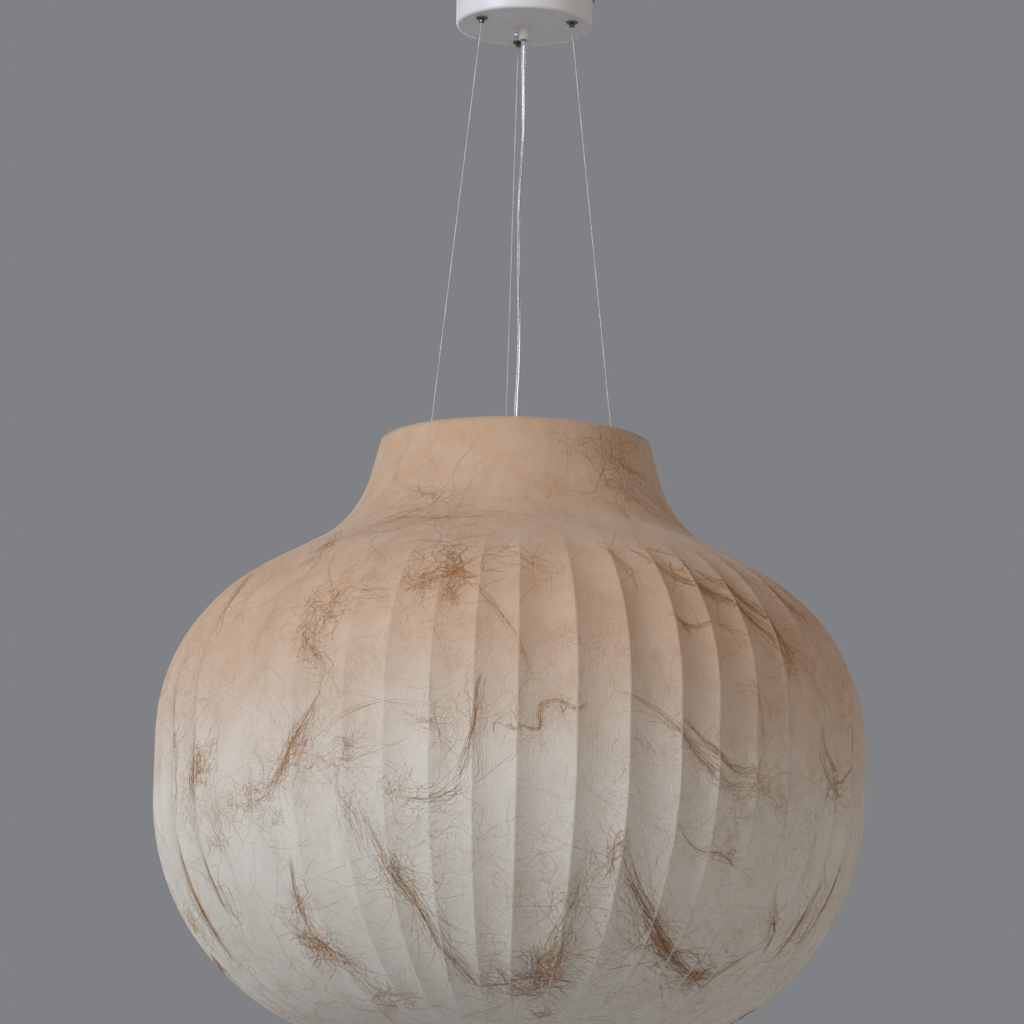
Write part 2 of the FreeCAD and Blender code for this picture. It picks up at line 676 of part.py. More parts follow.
def make_terminal_block():
    """Two-pole block under the strap: nylon body, brass sleeves, their screws and its own screw."""
    top = -size("strap_thick") - size("fit_gap")
    height, width = size("block_height"), size("block_width")
    start, length = size("block_start"), size("block_length")
    body = box("block_body", length, width, height, (start, -width / 2, top - height))
    level = top - size("pole_down")
    poles = (start + size("pole_inset"), start + length - size("pole_inset"))
    bore = size("sleeve_radius") + size("thread_clearance")
    driver = size("clamp_screw") + size("driver_gap")
    fixing = size("fixing_screw") + size("hole_clearance")
    middle = start + length / 2
    tools = [cylinder("fixing_way", fixing, height + 2, (middle, 0, top - height - 1))]
    sleeves, screws = [], []
    half = size("sleeve_length") / 2
    for number, x in enumerate(poles, start=1):
        tools.append(cylinder(f"pole_way_{number}", bore, width + 2,
                              (x, width / 2 + 1, level), ALONG_MINUS_Y))
        tools.append(cylinder(f"driver_way_{number}", driver, height - size("pole_down"),
                              (x, 0, top - height)))
        outer = cylinder(f"sleeve_outer_{number}", size("sleeve_radius"), half * 2,
                         (x, half, level), ALONG_MINUS_Y)
        ways = fused(f"sleeve_ways_{number}", [
            cylinder(f"sleeve_way_{number}", size("sleeve_bore"), half * 2 + 2,
                     (x, half + 1, level), ALONG_MINUS_Y),
            cylinder(f"sleeve_tap_{number}", size("clamp_screw") + size("screw_clearance"),
                     size("sleeve_radius") + 1, (x, 0, level - size("sleeve_radius") - 1))])
        sleeves.append(cut(f"sleeve_{number}", outer, ways))
        screws.append(cylinder(f"clamp_screw_{number}", size("clamp_screw"),
                               size("clamp_screw_shown") + size("clamp_screw_bite"),
                               (x, 0, level - size("sleeve_radius") - size("clamp_screw_shown"))))
    node(cut("block", body, fused("block_ways", tools)), "terminal_block")
    node(grouped("sleeves", sleeves), "terminal_sleeves")
    node(grouped("clamp_screws", screws), "terminal_screws")
    shank = size("fixing_screw")
    head, head_end = shank * 1.8, size("fixing_head") + size("fixing_cone")
    end = head_end + size("fit_gap") + height + size("strap_thick") - size("fixing_short")
    node(turned("fixing", [
        (0, 0), (head, 0), (head, size("fixing_head")), (shank, head_end), (shank, end),
        (0, end)], (middle, 0, top - height - head_end - size("fit_gap"))),
        "block_fixing_screw")


def make_cord_grip():
    """Nylon grip that holds the flex, its nut inside the canopy and its clear locking screw."""
    radius, thread, bore = size("grip_radius"), size("grip_thread"), size("grip_bore")
    length, rise = size("grip_length"), size("grip_rise")
    chamfer = size("grip_chamfer")
    body = turned("grip", [
        (bore, -length), (radius - chamfer, -length), (radius, chamfer - length),
        (radius, -size("fit_gap")), (thread, -size("fit_gap")), (thread, rise), (bore, rise)],
        (0, 0, canopy_face), about_z(GRIP_SCREW_TURN))
    sketch = new_sketch(body, "YZ_Plane", "screw_way_sketch")
    draw_circle(sketch, 0, -size("grip_screw_down"), size("grip_screw") + size("screw_clearance"))
    doc.recompute()
    before = body.Shape.Volume
    way = body.newObject("PartDesign::Pocket", "screw_way")
    way.Profile = sketch
    way.Type = "Length"
    way.Length = radius.value + 1
    way.setExpression("Length", (radius + 1).text)
    way.Reversed = True
    doc.recompute()
    assert way.Shape.Volume < before - 1, "the locking screw's hole cuts nothing"
    node(body, "cord_grip")
    node(hex_nut("grip_nut", thread, (0, 0, plate_top + size("fit_gap"))), "cord_grip_nut")
    head, shank = size("thumb_radius"), size("grip_screw")
    start = size("flex_radius") + 0.1
    seat = radius + 0.05
    along = about_z(GRIP_SCREW_TURN).multiply(ALONG_X)
    node(turned("locking_screw", [
        (0, start), (shank - 0.4, start), (shank, start + 0.4), (shank, seat), (head - 0.4, seat),
        (head, seat + 0.4), (head, seat + size("thumb_length") - 0.8),
        (head - 0.8, seat + size("thumb_length")), (0, seat + size("thumb_length"))],
        (0, 0, canopy_face - size("grip_screw_down")), along), "cord_grip_screw")


def hex_nut(name, thread, at, turn=0):
    blank = doc.addObject("Part::Prism", name + "_blank")
    blank.Polygon = 6
    for side, value in (("Circumradius", size("nut_radius")), ("Height", size("nut_height"))):
        setattr(blank, side, value.value)
        blank.setExpression(side, value.text)
    hole = cylinder(name + "_hole", thread + size("thread_clearance"), size("nut_height") + 2,
                    (0, 0, -1))
    return place(cut(name, blank, hole), at, about_z(turn))


# ---------------------------------------------------------------- wire grippers

def make_gripper(side, turn):
    """Self-locking wire gripper: its body, release tip, balls and spring, then its nut and cap."""
    at = on_circle(size("gripper_circle"), turn, canopy_face)
    about = about_z(turn)
    flange, thick = size("flange_radius"), size("flange_thick")
    barrel, rise = size("barrel_radius"), size("barrel_rise")
    bore, chamber = size("tip_bore"), size("chamber_radius")
    node(turned(f"gripper_{side}", [
        (bore, -thick), (flange - 0.4, -thick), (flange, 0.4 - thick), (flange, -size("fit_gap")),
        (barrel, -size("fit_gap")), (barrel, rise), (chamber, rise), (chamber, size("cone_high")),
        (bore, size("cone_low"))], at, about), f"gripper_body_{side}")
    nut = hex_nut(f"nut_{side}", barrel,
                  on_circle(size("gripper_circle"), turn, plate_top + size("fit_gap")), turn)
    tube_radius, hole = bore - size("tip_play"), size("tip_hole")
    low = -thick - size("tip_shown")
    collar_top = -thick - size("tip_travel") - size("tip_stop_gap")
    top = size("ball_height") - size("ball_radius") - size("ball_gap")
    node(turned(f"tip_{side}", [
        (hole, low), (size("tip_collar") - 0.3, low), (size("tip_collar"), low + 0.3),
        (size("tip_collar"), collar_top), (tube_radius, collar_top), (tube_radius, top),
        (hole, top)], at, about), f"release_tip_{side}")
    ball_circle = size("wire_radius") + size("ball_radius") + size("ball_gap")
    balls = []
    for number in range(3):
        ball = doc.addObject("Part::Sphere", f"ball_{side}_{number + 1}")
        ball.Radius = size("ball_radius").value
        ball.setExpression("Radius", size("ball_radius").text)
        balls.append(place(ball, on_circle(ball_circle, number * 120, size("ball_height"))))
    node(place(grouped(f"balls_{side}", balls), at, about), f"gripper_balls_{side}")
    node(place(make_spring(f"spring_{side}"), at, about), f"gripper_spring_{side}")
    plug = chamber - size("screw_clearance")
    deep = size("plug_depth")
    cap = turned(f"cap_{side}", [
        (size("plug_bore"), rise - deep), (plug, rise - deep), (plug, rise + size("fit_gap")),
        (barrel, rise + size("fit_gap")), (barrel, rise + size("cap_rise") - 0.5),
        (barrel - 0.5, rise + size("cap_rise")), (size("plug_bore"), rise + size("cap_rise"))],
        at, about)
    return nut, cap


def make_spring(name):
    """Coil spring between the balls and the cap."""
    wire, radius = size("spring_wire").value, size("spring_radius").value
    gap = 0.1
    low = size("ball_height").value + size("ball_radius").value + gap + wire
    high = size("barrel_rise").value - size("plug_depth").value - gap - wire
    coil = Part.makeHelix(size("spring_pitch").value, high - low, radius)
    coil.translate(Vector(0, 0, low))
    start = Vector(radius, 0, low)
    ring = Part.Wire([Part.makeCircle(wire, start, Vector(0, 1, 0))])
    piece = doc.addObject("Part::Feature", name)
    piece.Shape = Part.Wire(coil.Edges).makePipeShell([ring], True, True)
    return piece


# ---------------------------------------------------------------- suspension wires

def make_wires():
    """Each wire is straight from its gripper to the spider, with a tail kept in the canopy."""
    drop = wire_pivot.value - hub_top.value
    lean = size("wire_spread").value - size("gripper_circle").value
    slope = math.degrees(math.atan2(lean, drop))
    length = math.hypot(lean, drop)
    radius = size("wire_radius")
    apex = wire_pivot.value + size("gripper_circle").value * drop / lean
    print("wires: slope", round(slope, 3), "length", round(length, 1), "apex", round(apex, 1),
          "ratio", round(size("wire_spread").value / lean, 5))
    tails = []
    for side, turn in WIRES.items():
        rotation = about_z(turn).multiply(Rotation(Vector(0, 1, 0), -slope))
        at = on_circle(size("gripper_circle"), turn, wire_pivot)
        piece = doc.addObject("Part::Feature", f"wire_{side}")
        free = Part.makeCylinder(radius.value, length, Vector(0, 0, -length))
        piece.Shape = free.fuse(Part.makeSphere(radius.value)).removeSplitter()
        node(place(piece, at, rotation), f"suspension_wire_{side}")
        tail = tube(f"tail_{side}", [
            (0, 0, wire_pivot - canopy_face + radius + size("tail_gap")),
            (0, 0, size("barrel_rise") + 7), (-10, 6, size("barrel_rise") + 13)], radius)
        tails.append(place(tail, on_circle(size("gripper_circle"), turn, canopy_face),
                           about_z(turn)))
        place_stop(side, turn)
    node(grouped("tails", tails), "suspension_wire_tails")


def place_stop(side, turn):
    """Crimped stop that carries the spider's arm on the wire."""
    thick, rise = size("arm_thick"), size("stop_rise")
    head, shank, bore = size("stop_head"), size("stop_shank"), size("stop_bore")
    floor = thick - size("stop_floor")
    node(turned(f"stop_{side}", [
        (0, -size("stop_head_height")), (head - 0.5, -size("stop_head_height")),
        (head, 0.5 - size("stop_head_height")), (head, -size("fit_gap")),
        (shank, -size("fit_gap")), (shank, thick + rise), (bore, thick + rise), (bore, floor),
        (0, floor)], on_circle(size("wire_spread"), turn, arm_under)), f"wire_stop_{side}")


# ---------------------------------------------------------------- shade

def make_paper():
    """The paper is one skin: a thin wall of revolution, open at the rim and the lower mouth."""
    node(turned("skin", shade_line(as_size(0)) + turned_back(shade_line(size("paper")))),
         "paper_shade")


def make_rings():
    for name, (radius, level) in rings.items():
        ring = doc.addObject("Part::Torus", name)
        for side, value in (("Radius1", radius), ("Radius2", size("ring_radius"))):
            setattr(ring, side, value.value)
            ring.setExpression(side, value.text)
        node(place(ring, (0, 0, level)), name)


def make_ribs():
    """One bent rib, repeated round the cage at uneven steps that no pattern feature makes."""
    path = doc.addObject("Sketcher::SketchObject", "rib_path")
    path.Placement = Placement(Vector(0, 0, 0), Rotation(Vector(1, 0, 0), 90))
    line = shade_line(rib_depth)
    draw_outline(path, line, closed=False)
    section = doc.addObject("Part::Circle", "rib_section")
    section.Radius = size("rib_radius").value
    section.setExpression("Radius", size("rib_radius").text)
    lean = math.radians(size("neck_angle").value)
    place(section, (line[0][0], 0, line[0][1]),
          Rotation(UP, Vector(math.sin(lean), 0, -math.cos(lean))))
    rib = doc.addObject("Part::Sweep", "rib")
    rib.Sections = [section]
    rib.Spine = (path, [f"Edge{number}" for number in range(1, len(line))])
    rib.Solid = True
    rib.Frenet = False
    doc.recompute()
    count = int(size("rib_count").value)
    steps = [RIB_STEPS[number % len(RIB_STEPS)] for number in range(count)]
    share = 360 / sum(steps)
    turns = [size("rib_start").value + share * sum(steps[:number]) for number in range(count)]
    quarter = math.ceil(count / len(RIB_SIDES))
    for number, side in enumerate(RIB_SIDES):
        copies = []
        for turn in turns[number * quarter:(number + 1) * quarter]:
            copy = rib.Shape.copy()
            copy.rotate(Vector(0, 0, 0), UP, turn)
            copies.append(copy)
        group = doc.addObject("Part::Feature", f"ribs_{side}_group")
        group.Shape = Part.makeCompound(copies)
        node(group, f"ribs_{side}")


def make_spider():
    """Sheet-steel spider: a hub plate for the lampholder and three arms out to their ring."""
    body = doc.addObject("PartDesign::Body", "spider_plate")
    sketch = new_sketch(body, "XY_Plane", "hub_sketch")
    draw_circle(sketch, 0, 0, size("hub_radius"))
    thick = size("arm_thick")
    hub = body.newObject("PartDesign::Pad", "hub_pad")
    hub.Profile = sketch
    hub.Length = thick.value
    hub.setExpression("Length", thick.text)
    doc.recompute()
    sketch = new_sketch(body, "XY_Plane", "arm_sketch")
    inner = size("hub_radius") * 0.8
    outer = rings["spider_ring"][0] + size("arm_overlap")
    half = size("arm_width") / 2
    draw_outline(sketch, [(-half, inner), (half, inner), (half, outer), (-half, outer)])
    arm = body.newObject("PartDesign::Pad", "arm_pad")
    arm.Profile = sketch
    arm.Length = thick.value
    arm.setExpression("Length", thick.text)
    doc.recompute()
    patterned(body, "arms", arm, len(WIRES))
    bored(body, "holder_hole", "XY_Plane", 0, 0, size("hub_hole"), reverse=True)
    first = bored(body, "stop_hole", "XY_Plane", 0, size("wire_spread"),
                  size("stop_shank") + size("hole_clearance"), reverse=True)
    patterned(body, "stop_holes", first, len(WIRES))
    node(place(body, (0, 0, arm_under)), "spider")


# ---------------------------------------------------------------- lampholder and bulb

def make_lampholder():
    """Screw lampholder: its skirt passes the hub, and the shade ring clamps the hub below."""
    at = (0, 0, hub_top)
    gap = size("fit_gap")
    skirt, inner, collar = size("skirt_radius"), size("skirt_inner"), size("collar_radius")
    height, ledge = size("collar_height"), size("ledge_radius")
    spigot = skirt - size("spigot_step")
    spigot_top = height + size("spigot_height")
    seat = size("insulator_seat")
    node(turned("holder_shell", [
        (inner, -size("skirt_length")), (skirt, -size("skirt_length")), (skirt, gap),
        (collar, gap), (collar, height), (spigot, height), (spigot, spigot_top),
        (inner, spigot_top), (inner, seat), (ledge, seat), (ledge, 0), (inner, 0)], at),
        "lampholder_shell")
    ring_top = -size("arm_thick") - gap
    ring, ring_height = size("shade_ring_radius"), size("shade_ring_height")
    node(turned("clamp_ring", [
        (skirt + size("thread_clearance"), ring_top - ring_height),
        (ring - size("shade_ring_taper"), ring_top - ring_height),
        (ring, ring_top - ring_height / 3), (ring, ring_top),
        (skirt + size("thread_clearance"), ring_top)], at), "lampholder_shade_ring")
    insulator_top, boss = size("insulator_top"), ledge - size("insulator_boss")
    edge = inner - size("insulator_play")
    node(turned("insulator", [
        (0, seat + 1), (boss, seat + 1), (boss, seat + gap), (edge, seat + gap),
        (edge, insulator_top), (0, insulator_top)], at), "lampholder_insulator")
    socket = size("socket_radius")
    node(turned("socket", [
        (socket, seat - size("socket_length")), (socket + size("socket_wall"),
                                                 seat - size("socket_length")),
        (socket + size("socket_wall"), seat), (socket, seat)], at), "lampholder_screw_shell")
    low, disc, stem = -size("contact_low"), size("contact_disc"), size("contact_stem")
    disc_top = low + size("contact_thick")
    node(turned("tongue", [
        (0, low), (disc - 0.5, low), (disc, disc_top), (stem, disc_top), (stem, seat + 1 - gap),
        (0, seat + 1 - gap)], at), "lampholder_centre_contact")
    blocks, screws = [], []
    for side, sign in (("left", -1), ("right", 1)):
        x = size("pole_out") * sign
        long, thick = size("pole_long"), size("pole_thick")
        blocks.append(box(f"holder_pole_{side}", long, thick, thick,
                          (x - long / 2, -thick / 2, hub_top + insulator_top + gap)))
        screws.append(cylinder(f"holder_screw_{side}", size("pole_screw"),
                               size("pole_screw_height"),
                               (x, 0, hub_top + insulator_top + thick + gap * 2)))
    node(grouped("holder_poles", blocks), "lampholder_terminals")
    node(grouped("holder_screws", screws), "lampholder_terminal_screws")
    cap, wall, side = size("cap_radius"), size("cap_wall"), size("cap_side")
    neck, shoulder, top = size("cap_neck"), size("cap_shoulder"), size("cap_height")
    hole = size("flex_radius") + size("grommet_play")
    round_off = size("cap_round")
    node(turned("holder_cap", [
        (cap, height + gap), (cap, side, Arc(round_off, LEFT)), (neck, shoulder), (neck, top),
        (hole, top), (hole, shoulder - wall), (neck - wall, shoulder - wall,
                                               Arc(round_off - wall, RIGHT)),
        (cap - wall, side), (cap - wall, height + gap)], at), "lampholder_cap")
    clearance = size("thread_clearance")
    bush, way = hole - clearance, size("flex_radius") + clearance
    foot, crown = top - size("grommet_depth"), top + size("grommet_rise")
    lip = bush + size("grommet_lip")
    node(turned("grommet", [
        (way, foot), (bush, foot), (bush, top + gap), (lip, top + gap), (lip - 0.6, crown),
        (way, crown)], at), "lampholder_grommet")


def make_bulb():
    """Screw-cap bulb with an opal globe, bought in as one sealed unit."""
    at = (0, 0, hub_top)
    contact = -size("contact_low") - size("contact_gap")
    button, button_end = size("button_radius"), contact - size("button_height")
    node(turned("button", [
        (0, contact), (button - 0.8, contact), (button, contact - 0.8), (button, button_end),
        (0, button_end)], at), "bulb_contact")
    cap = size("bulb_cap")
    vitrite, vitrite_top = cap - size("vitrite_inset"), button_end - size("fit_gap")
    vitrite_rim = contact - size("vitrite_drop")
    vitrite_end = vitrite_rim - size("vitrite_edge")
    node(turned("cap_insulator", [
        (0, vitrite_top), (button + 0.4, vitrite_top), (vitrite, vitrite_rim),
        (vitrite, vitrite_end), (0, vitrite_end)], at), "bulb_cap_insulator")
    neck, globe, wall = size("bulb_neck"), size("globe_radius"), size("glass_wall")
    cone = size("neck_cone")
    centre = -size("bulb_drop")
    neck_arc = (globe * sine(cone) - neck) / (1 - sine(cone))
    meet = (globe * sine(cone), centre + globe * cosine(cone))
    neck_end = meet[1] + neck_arc * cosine(cone)
    inner_meet = ((globe - wall) * sine(cone), centre + (globe - wall) * cosine(cone))
    top = contact - size("neck_in_cap")
    node(turned("glass", [
        (neck, top), (neck, neck_end, Arc(neck_arc, LEFT)), meet + (Arc(globe, RIGHT),),
        (globe, centre, Arc(globe, RIGHT)), (0, centre - globe),
        (0, centre - globe + wall, Arc(globe - wall, LEFT)),
        (globe - wall, centre, Arc(globe - wall, LEFT)),
        inner_meet + (Arc(neck_arc + wall, RIGHT),), (neck - wall, neck_end),
        (neck - wall, top)], at), "bulb_globe")
    skin = size("cap_skin")
    lip = neck_end + 1.5
    collar = vitrite + size("thread_clearance")
    node(turned("screw_cap", [
        (collar, vitrite_rim), (cap, vitrite_rim - 2.3), (cap, lip), (cap - skin, lip),
        (cap - skin, vitrite_rim - 2.5), (collar, vitrite_rim - 1)], at), "bulb_screw_cap")


# ---------------------------------------------------------------- flex

def make_flex():
    """The flex: its free stretch hangs slack from the cord grip to the lampholder's grommet."""
    radius, core = size("flex_radius"), size("core_radius")
    grip_end = canopy_face - size("grip_length")
    holder_end = hub_top + size("cap_height") + size("grommet_rise")
    lead_end, tail_start = grip_end - size("flex_lead"), holder_end + size("flex_tail")
    free = lead_end - tail_start
    strays = [(1.9, 0.6), (-0.6, 1.5), (-1.7, -0.3), (0.9, -1.3), (1.3, 0.5)]
    shares = [0.148, 0.329, 0.515, 0.702, 0.857]
    middle = [(x, y, lead_end - free * share) for (x, y), share in zip(strays, shares)]
    node(tube("free_flex", [(0, 0, grip_end), (0, 0, lead_end)] + middle
              + [(0, 0, tail_start), (0, 0, holder_end)], radius), "flex")
    bend = plate_top + size("flex_bend")
    split = (3, -12, plate_top + size("flex_split"))
    node(tube("canopy_flex", [(0, 0, grip_end), (0, 0, bend), split], radius),
         "flex_end_in_canopy")
    sleeve_level = -size("strap_thick") - size("fit_gap") - size("pole_down")
    near = size("block_start") + size("pole_inset")
    far = size("block_start") + size("block_length") - size("pole_inset")
    mouth = -size("sleeve_length") / 2 + 1
    cores = [
        tube("core_near", [(3.9, -12.4, split[2]), (9, -18, sleeve_level - 1),
                           (near, -14, sleeve_level), (near, mouth, sleeve_level)], core),
        tube("core_far", [(2.1, -13, split[2]), (9, -21.5, sleeve_level - 3),
                          (21, -20, sleeve_level - 1), (far, -14, sleeve_level),
                          (far, mouth, sleeve_level)], core)]
    node(grouped("canopy_cores", cores), "flex_cores_in_canopy")
    low = hub_top + size("flex_in_cap")
    node(tube("holder_flex", [(0, 0, holder_end), (0, 0, low)], radius),
         "flex_end_in_lampholder")
    ends = []
    for side, sign in (("left", -1), ("right", 1)):
        ends.append(tube(f"holder_core_{side}", [
            (sign, 0, low), (sign, 0, low - 3), (sign * 4, -3.8, low - 6),
            (sign * 8, -4.2, low - 8.2)], core))
    node(grouped("holder_cores", ends), "flex_cores_in_lampholder")


# ---------------------------------------------------------------- build, test and write

make_ceiling_bracket()
make_canopy_cover()
make_canopy_screws()
make_terminal_block()
make_cord_grip()
nuts, caps = zip(*[make_gripper(side, turn) for side, turn in WIRES.items()])
node(grouped("nuts", list(nuts)), "gripper_nuts")
node(grouped("caps", list(caps)), "gripper_caps")
make_wires()
make_paper()
make_rings()
make_ribs()
make_spider()
make_lampholder()
make_bulb()
make_flex()
doc.recompute()

for piece in doc.Objects:
    if {"Invalid", "Error"} & set(piece.State):
        raise RuntimeError(f"{piece.Label} failed: {piece.State}")
for piece in nodes:
    if piece.Shape.isNull() or not piece.Shape.isValid():
        raise RuntimeError(f"{piece.Label} has no valid shape")
    if not piece.Shape.Solids:
        raise RuntimeError(f"{piece.Label} has no solid")

os.makedirs("parts", exist_ok=True)
for piece in nodes:
    piece.Shape.exportStep(f"parts/{piece.Label}.step")
    bounds = piece.Shape.BoundBox
    print(f"{piece.Label:32s} {len(piece.Shape.Solids):3d} solids {piece.Shape.Volume:12.1f} mm3"
          f"  z {bounds.ZMin:8.1f} to {bounds.ZMax:8.1f}  x {bounds.XMin:7.1f} to {bounds.XMax:7.1f}")
print(len(nodes), "nodes")
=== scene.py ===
# %% [markdown]
# A pendant lamp with a shade of dyed plant-fibre paper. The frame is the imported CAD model: metal,
# ceramic and glass keep their CAD shapes and get finishes here. Paper, fibres, flex and steel rope
# are made here, because they are soft or too fine for CAD. All lengths are in metres.

# %% Load the frame
import json
import math

import bpy
import numpy as np
from mathutils import Matrix, Vector


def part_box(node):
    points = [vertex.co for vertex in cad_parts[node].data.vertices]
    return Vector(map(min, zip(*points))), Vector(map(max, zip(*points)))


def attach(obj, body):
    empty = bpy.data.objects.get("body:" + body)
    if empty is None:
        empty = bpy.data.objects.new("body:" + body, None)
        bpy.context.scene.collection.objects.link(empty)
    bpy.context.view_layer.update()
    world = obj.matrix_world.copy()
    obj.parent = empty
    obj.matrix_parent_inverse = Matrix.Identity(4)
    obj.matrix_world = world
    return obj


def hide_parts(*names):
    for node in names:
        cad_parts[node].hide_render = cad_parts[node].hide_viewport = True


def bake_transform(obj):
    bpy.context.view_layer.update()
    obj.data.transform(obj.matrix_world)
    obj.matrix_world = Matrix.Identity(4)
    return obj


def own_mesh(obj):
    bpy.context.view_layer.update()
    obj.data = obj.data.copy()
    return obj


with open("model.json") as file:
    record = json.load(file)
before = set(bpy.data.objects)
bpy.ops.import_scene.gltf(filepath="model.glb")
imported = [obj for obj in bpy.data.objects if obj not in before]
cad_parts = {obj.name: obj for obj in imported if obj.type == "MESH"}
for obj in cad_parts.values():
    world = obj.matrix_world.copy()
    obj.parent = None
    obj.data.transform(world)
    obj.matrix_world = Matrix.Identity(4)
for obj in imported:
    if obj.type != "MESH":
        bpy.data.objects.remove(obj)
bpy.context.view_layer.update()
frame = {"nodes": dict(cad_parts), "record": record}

MM = 0.001

# %% [markdown]
# The lamp is looked at from a long way off and from a little below the shade, with a long lens, so
# its upright lines stay almost parallel. The camera's turn, rise and roll are three plain angles,
# which are easier to change than a matrix, and the matrix is worked out from them.

# %% Camera
CAMERA_PLACE = (-0.4565, -4.3233, -1.348)
CAMERA_TURN = math.radians(-6.0)
CAMERA_RISE = math.radians(11.35)
CAMERA_ROLL = math.radians(1.15)

camera = bpy.data.objects.new("camera", bpy.data.cameras.new("camera"))
bpy.context.scene.collection.objects.link(camera)
camera.data.lens = 179.7
camera.data.sensor_width = 36
camera.data.clip_start, camera.data.clip_end = 0.1, 100
camera.matrix_world = (
    Matrix.Translation(CAMERA_PLACE)
    @ Matrix.Rotation(CAMERA_TURN, 4, "Z")
    @ Matrix.Rotation(math.radians(90) + CAMERA_RISE, 4, "X")
    @ Matrix.Rotation(CAMERA_ROLL, 4, "Z"))
bpy.context.scene.camera = camera

# %% [markdown]
# A flex hangs as one smooth line. It could be drawn as straight runs with rounded corners, but
# that looks like bent wire, so the line is a NURBS spline that the route's points pull on. The
# mesh is then made round points read from that spline: a section is carried along it, and may
# slowly twist.

# %% Laying a line and sweeping a section along it
def laid_line(route, steps=12):
    """Points along the smooth line that a soft piece of this route takes."""
    curve = bpy.data.curves.new("route", "CURVE")
    curve.dimensions = "3D"
    spline = curve.splines.new("NURBS")
    spline.points.add(len(route) - 1)
    for point, place in zip(spline.points, route):
        point.co = (*place, 1)
    spline.order_u = 3
    spline.use_endpoint_u = True
    spline.resolution_u = steps
    holder = bpy.data.objects.new("route", curve)
    mesh = bpy.data.meshes.new_from_object(holder)
    points = np.array([vertex.co for vertex in mesh.vertices])
    bpy.data.objects.remove(holder)
    bpy.data.meshes.remove(mesh)
    return points


def along_line(points):
    """Distance of each point from the first, along the line."""
    return np.concatenate([[0], np.cumsum(np.linalg.norm(np.diff(points, axis=0), axis=1))])


def evenly(points, gap):
    """The same line with its points about this far apart."""
    distance = along_line(points)
    wanted = np.linspace(0, distance[-1], max(2, round(distance[-1] / gap) + 1))
    return np.stack([np.interp(wanted, distance, points[:, axis]) for axis in range(3)], 1)


def carried_sides(points, first_side):
    """Two directions across the line at each point, carried along it without spinning."""
    tangents = np.gradient(points, axis=0)
    tangents /= np.linalg.norm(tangents, axis=1)[:, None]
    side = np.array(first_side, float)
    sides = []
    for tangent in tangents:
        side = side - tangent * (side @ tangent)
        side /= np.linalg.norm(side)
        sides.append(side)
    sides = np.array(sides)
    return sides, np.cross(tangents, sides)


def tube_quads(count, around):
    """Faces between this many rings of points, with around points on each."""
    here = np.arange(count - 1)[:, None] * around + np.arange(around)[None]
    beside = np.arange(count - 1)[:, None] * around + (np.arange(around)[None] + 1) % around
    return np.stack([here, beside, beside + around, here + around], -1).reshape(-1, 4)


def closed_tube(rings):
    """Vertices and faces of a tube through rings of points, with both ends closed."""
    count, around = rings.shape[:2]
    ends = [list(range(around))[::-1], list(range((count - 1) * around, count * around))]
    return rings.reshape(-1, 3), tube_quads(count, around).tolist() + ends


def swept(points, section, first_side=(1, 0, 0), twist=None):
    """A closed tube along a line: section is a ring of (across, through) points."""
    sides, throughs = carried_sides(points, first_side)
    if twist is not None:
        cos, sin = np.cos(twist)[:, None], np.sin(twist)[:, None]
        sides, throughs = sides * cos + throughs * sin, throughs * cos - sides * sin
    section = np.array(section)
    return closed_tube(points[:, None] + sides[:, None] * section[None, :, :1]
                       + throughs[:, None] * section[None, :, 1:])


def made_of(name, parts, material):
    """One mesh object from several (vertices, faces) parts."""
    vertices, faces, start = [], [], 0
    for part_vertices, part_faces in parts:
        vertices.append(part_vertices)
        faces.extend([[index + start for index in face] for face in part_faces])
        start += len(part_vertices)
    mesh = bpy.data.meshes.new(name)
    mesh.from_pydata(np.concatenate(vertices).tolist(), [], faces)
    mesh.update()
    mesh.shade_smooth()
    mesh.materials.append(material)
    piece = bpy.data.objects.new(name, mesh)
    bpy.context.scene.collection.objects.link(piece)
    return piece


def ring_section(radius, corners):
    """A round section, as a ring of this many corners."""
    turns = np.arange(corners) * 2 * math.pi / corners
    return np.stack([radius * np.cos(turns), radius * np.sin(turns)], 1)


# %% [markdown]
# Finishes are node trees. Every colour is a hex value as a paint maker would give it, and one
# function turns it into the linear light that the renderer works in. One more function adds a
# node, its settings and its links. A made surface is never quite even, so most finishes share one
# recipe: soft patches vary the colour and the gloss, and finer marks of the process give the
# relief.

# %% Colour and node helpers
def linear(hex_colour):
    """A hex colour as linear red, green, blue and 1."""
    parts = [int(hex_colour[i:i + 2], 16) / 255 for i in (1, 3, 5)]
    return [p / 12.92 if p <= 0.04045 else ((p + 0.055) / 1.055) ** 2.4 for p in parts] + [1]


def layer(tree, kind, settings=None, out=0, **links):
    """Add a node and return its output of this name or number. Settings are its inputs or its
    own properties, and links name its inputs."""
    made = tree.nodes.new("ShaderNode" + kind)
    for key, value in (settings or {}).items():
        if isinstance(key, int) or key in made.inputs:
            made.inputs[key].default_value = value
        else:
            setattr(made, key, value)
    for key, socket in links.items():
        where = int(key[1:]) if key[0] == "n" and key[1:].isdigit() else key.replace("_", " ")
        tree.links.new(socket, made.inputs[where])
    return made.outputs[out]


def finish_named(name, colour, roughness, metallic=0, **sockets):
    """A new material with its shader set. Returns the material, its tree and its shader."""
    material = bpy.data.materials.new(name)
    material.use_nodes = True
    tree = material.node_tree
    shader = tree.nodes["Principled BSDF"]
    shader.inputs["Base Color"].default_value = linear(colour)
    shader.inputs["Roughness"].default_value = roughness
    shader.inputs["Metallic"].default_value = metallic
    for key, value in sockets.items():
        shader.inputs[key.replace("_", " ")].default_value = value
    return material, tree, shader


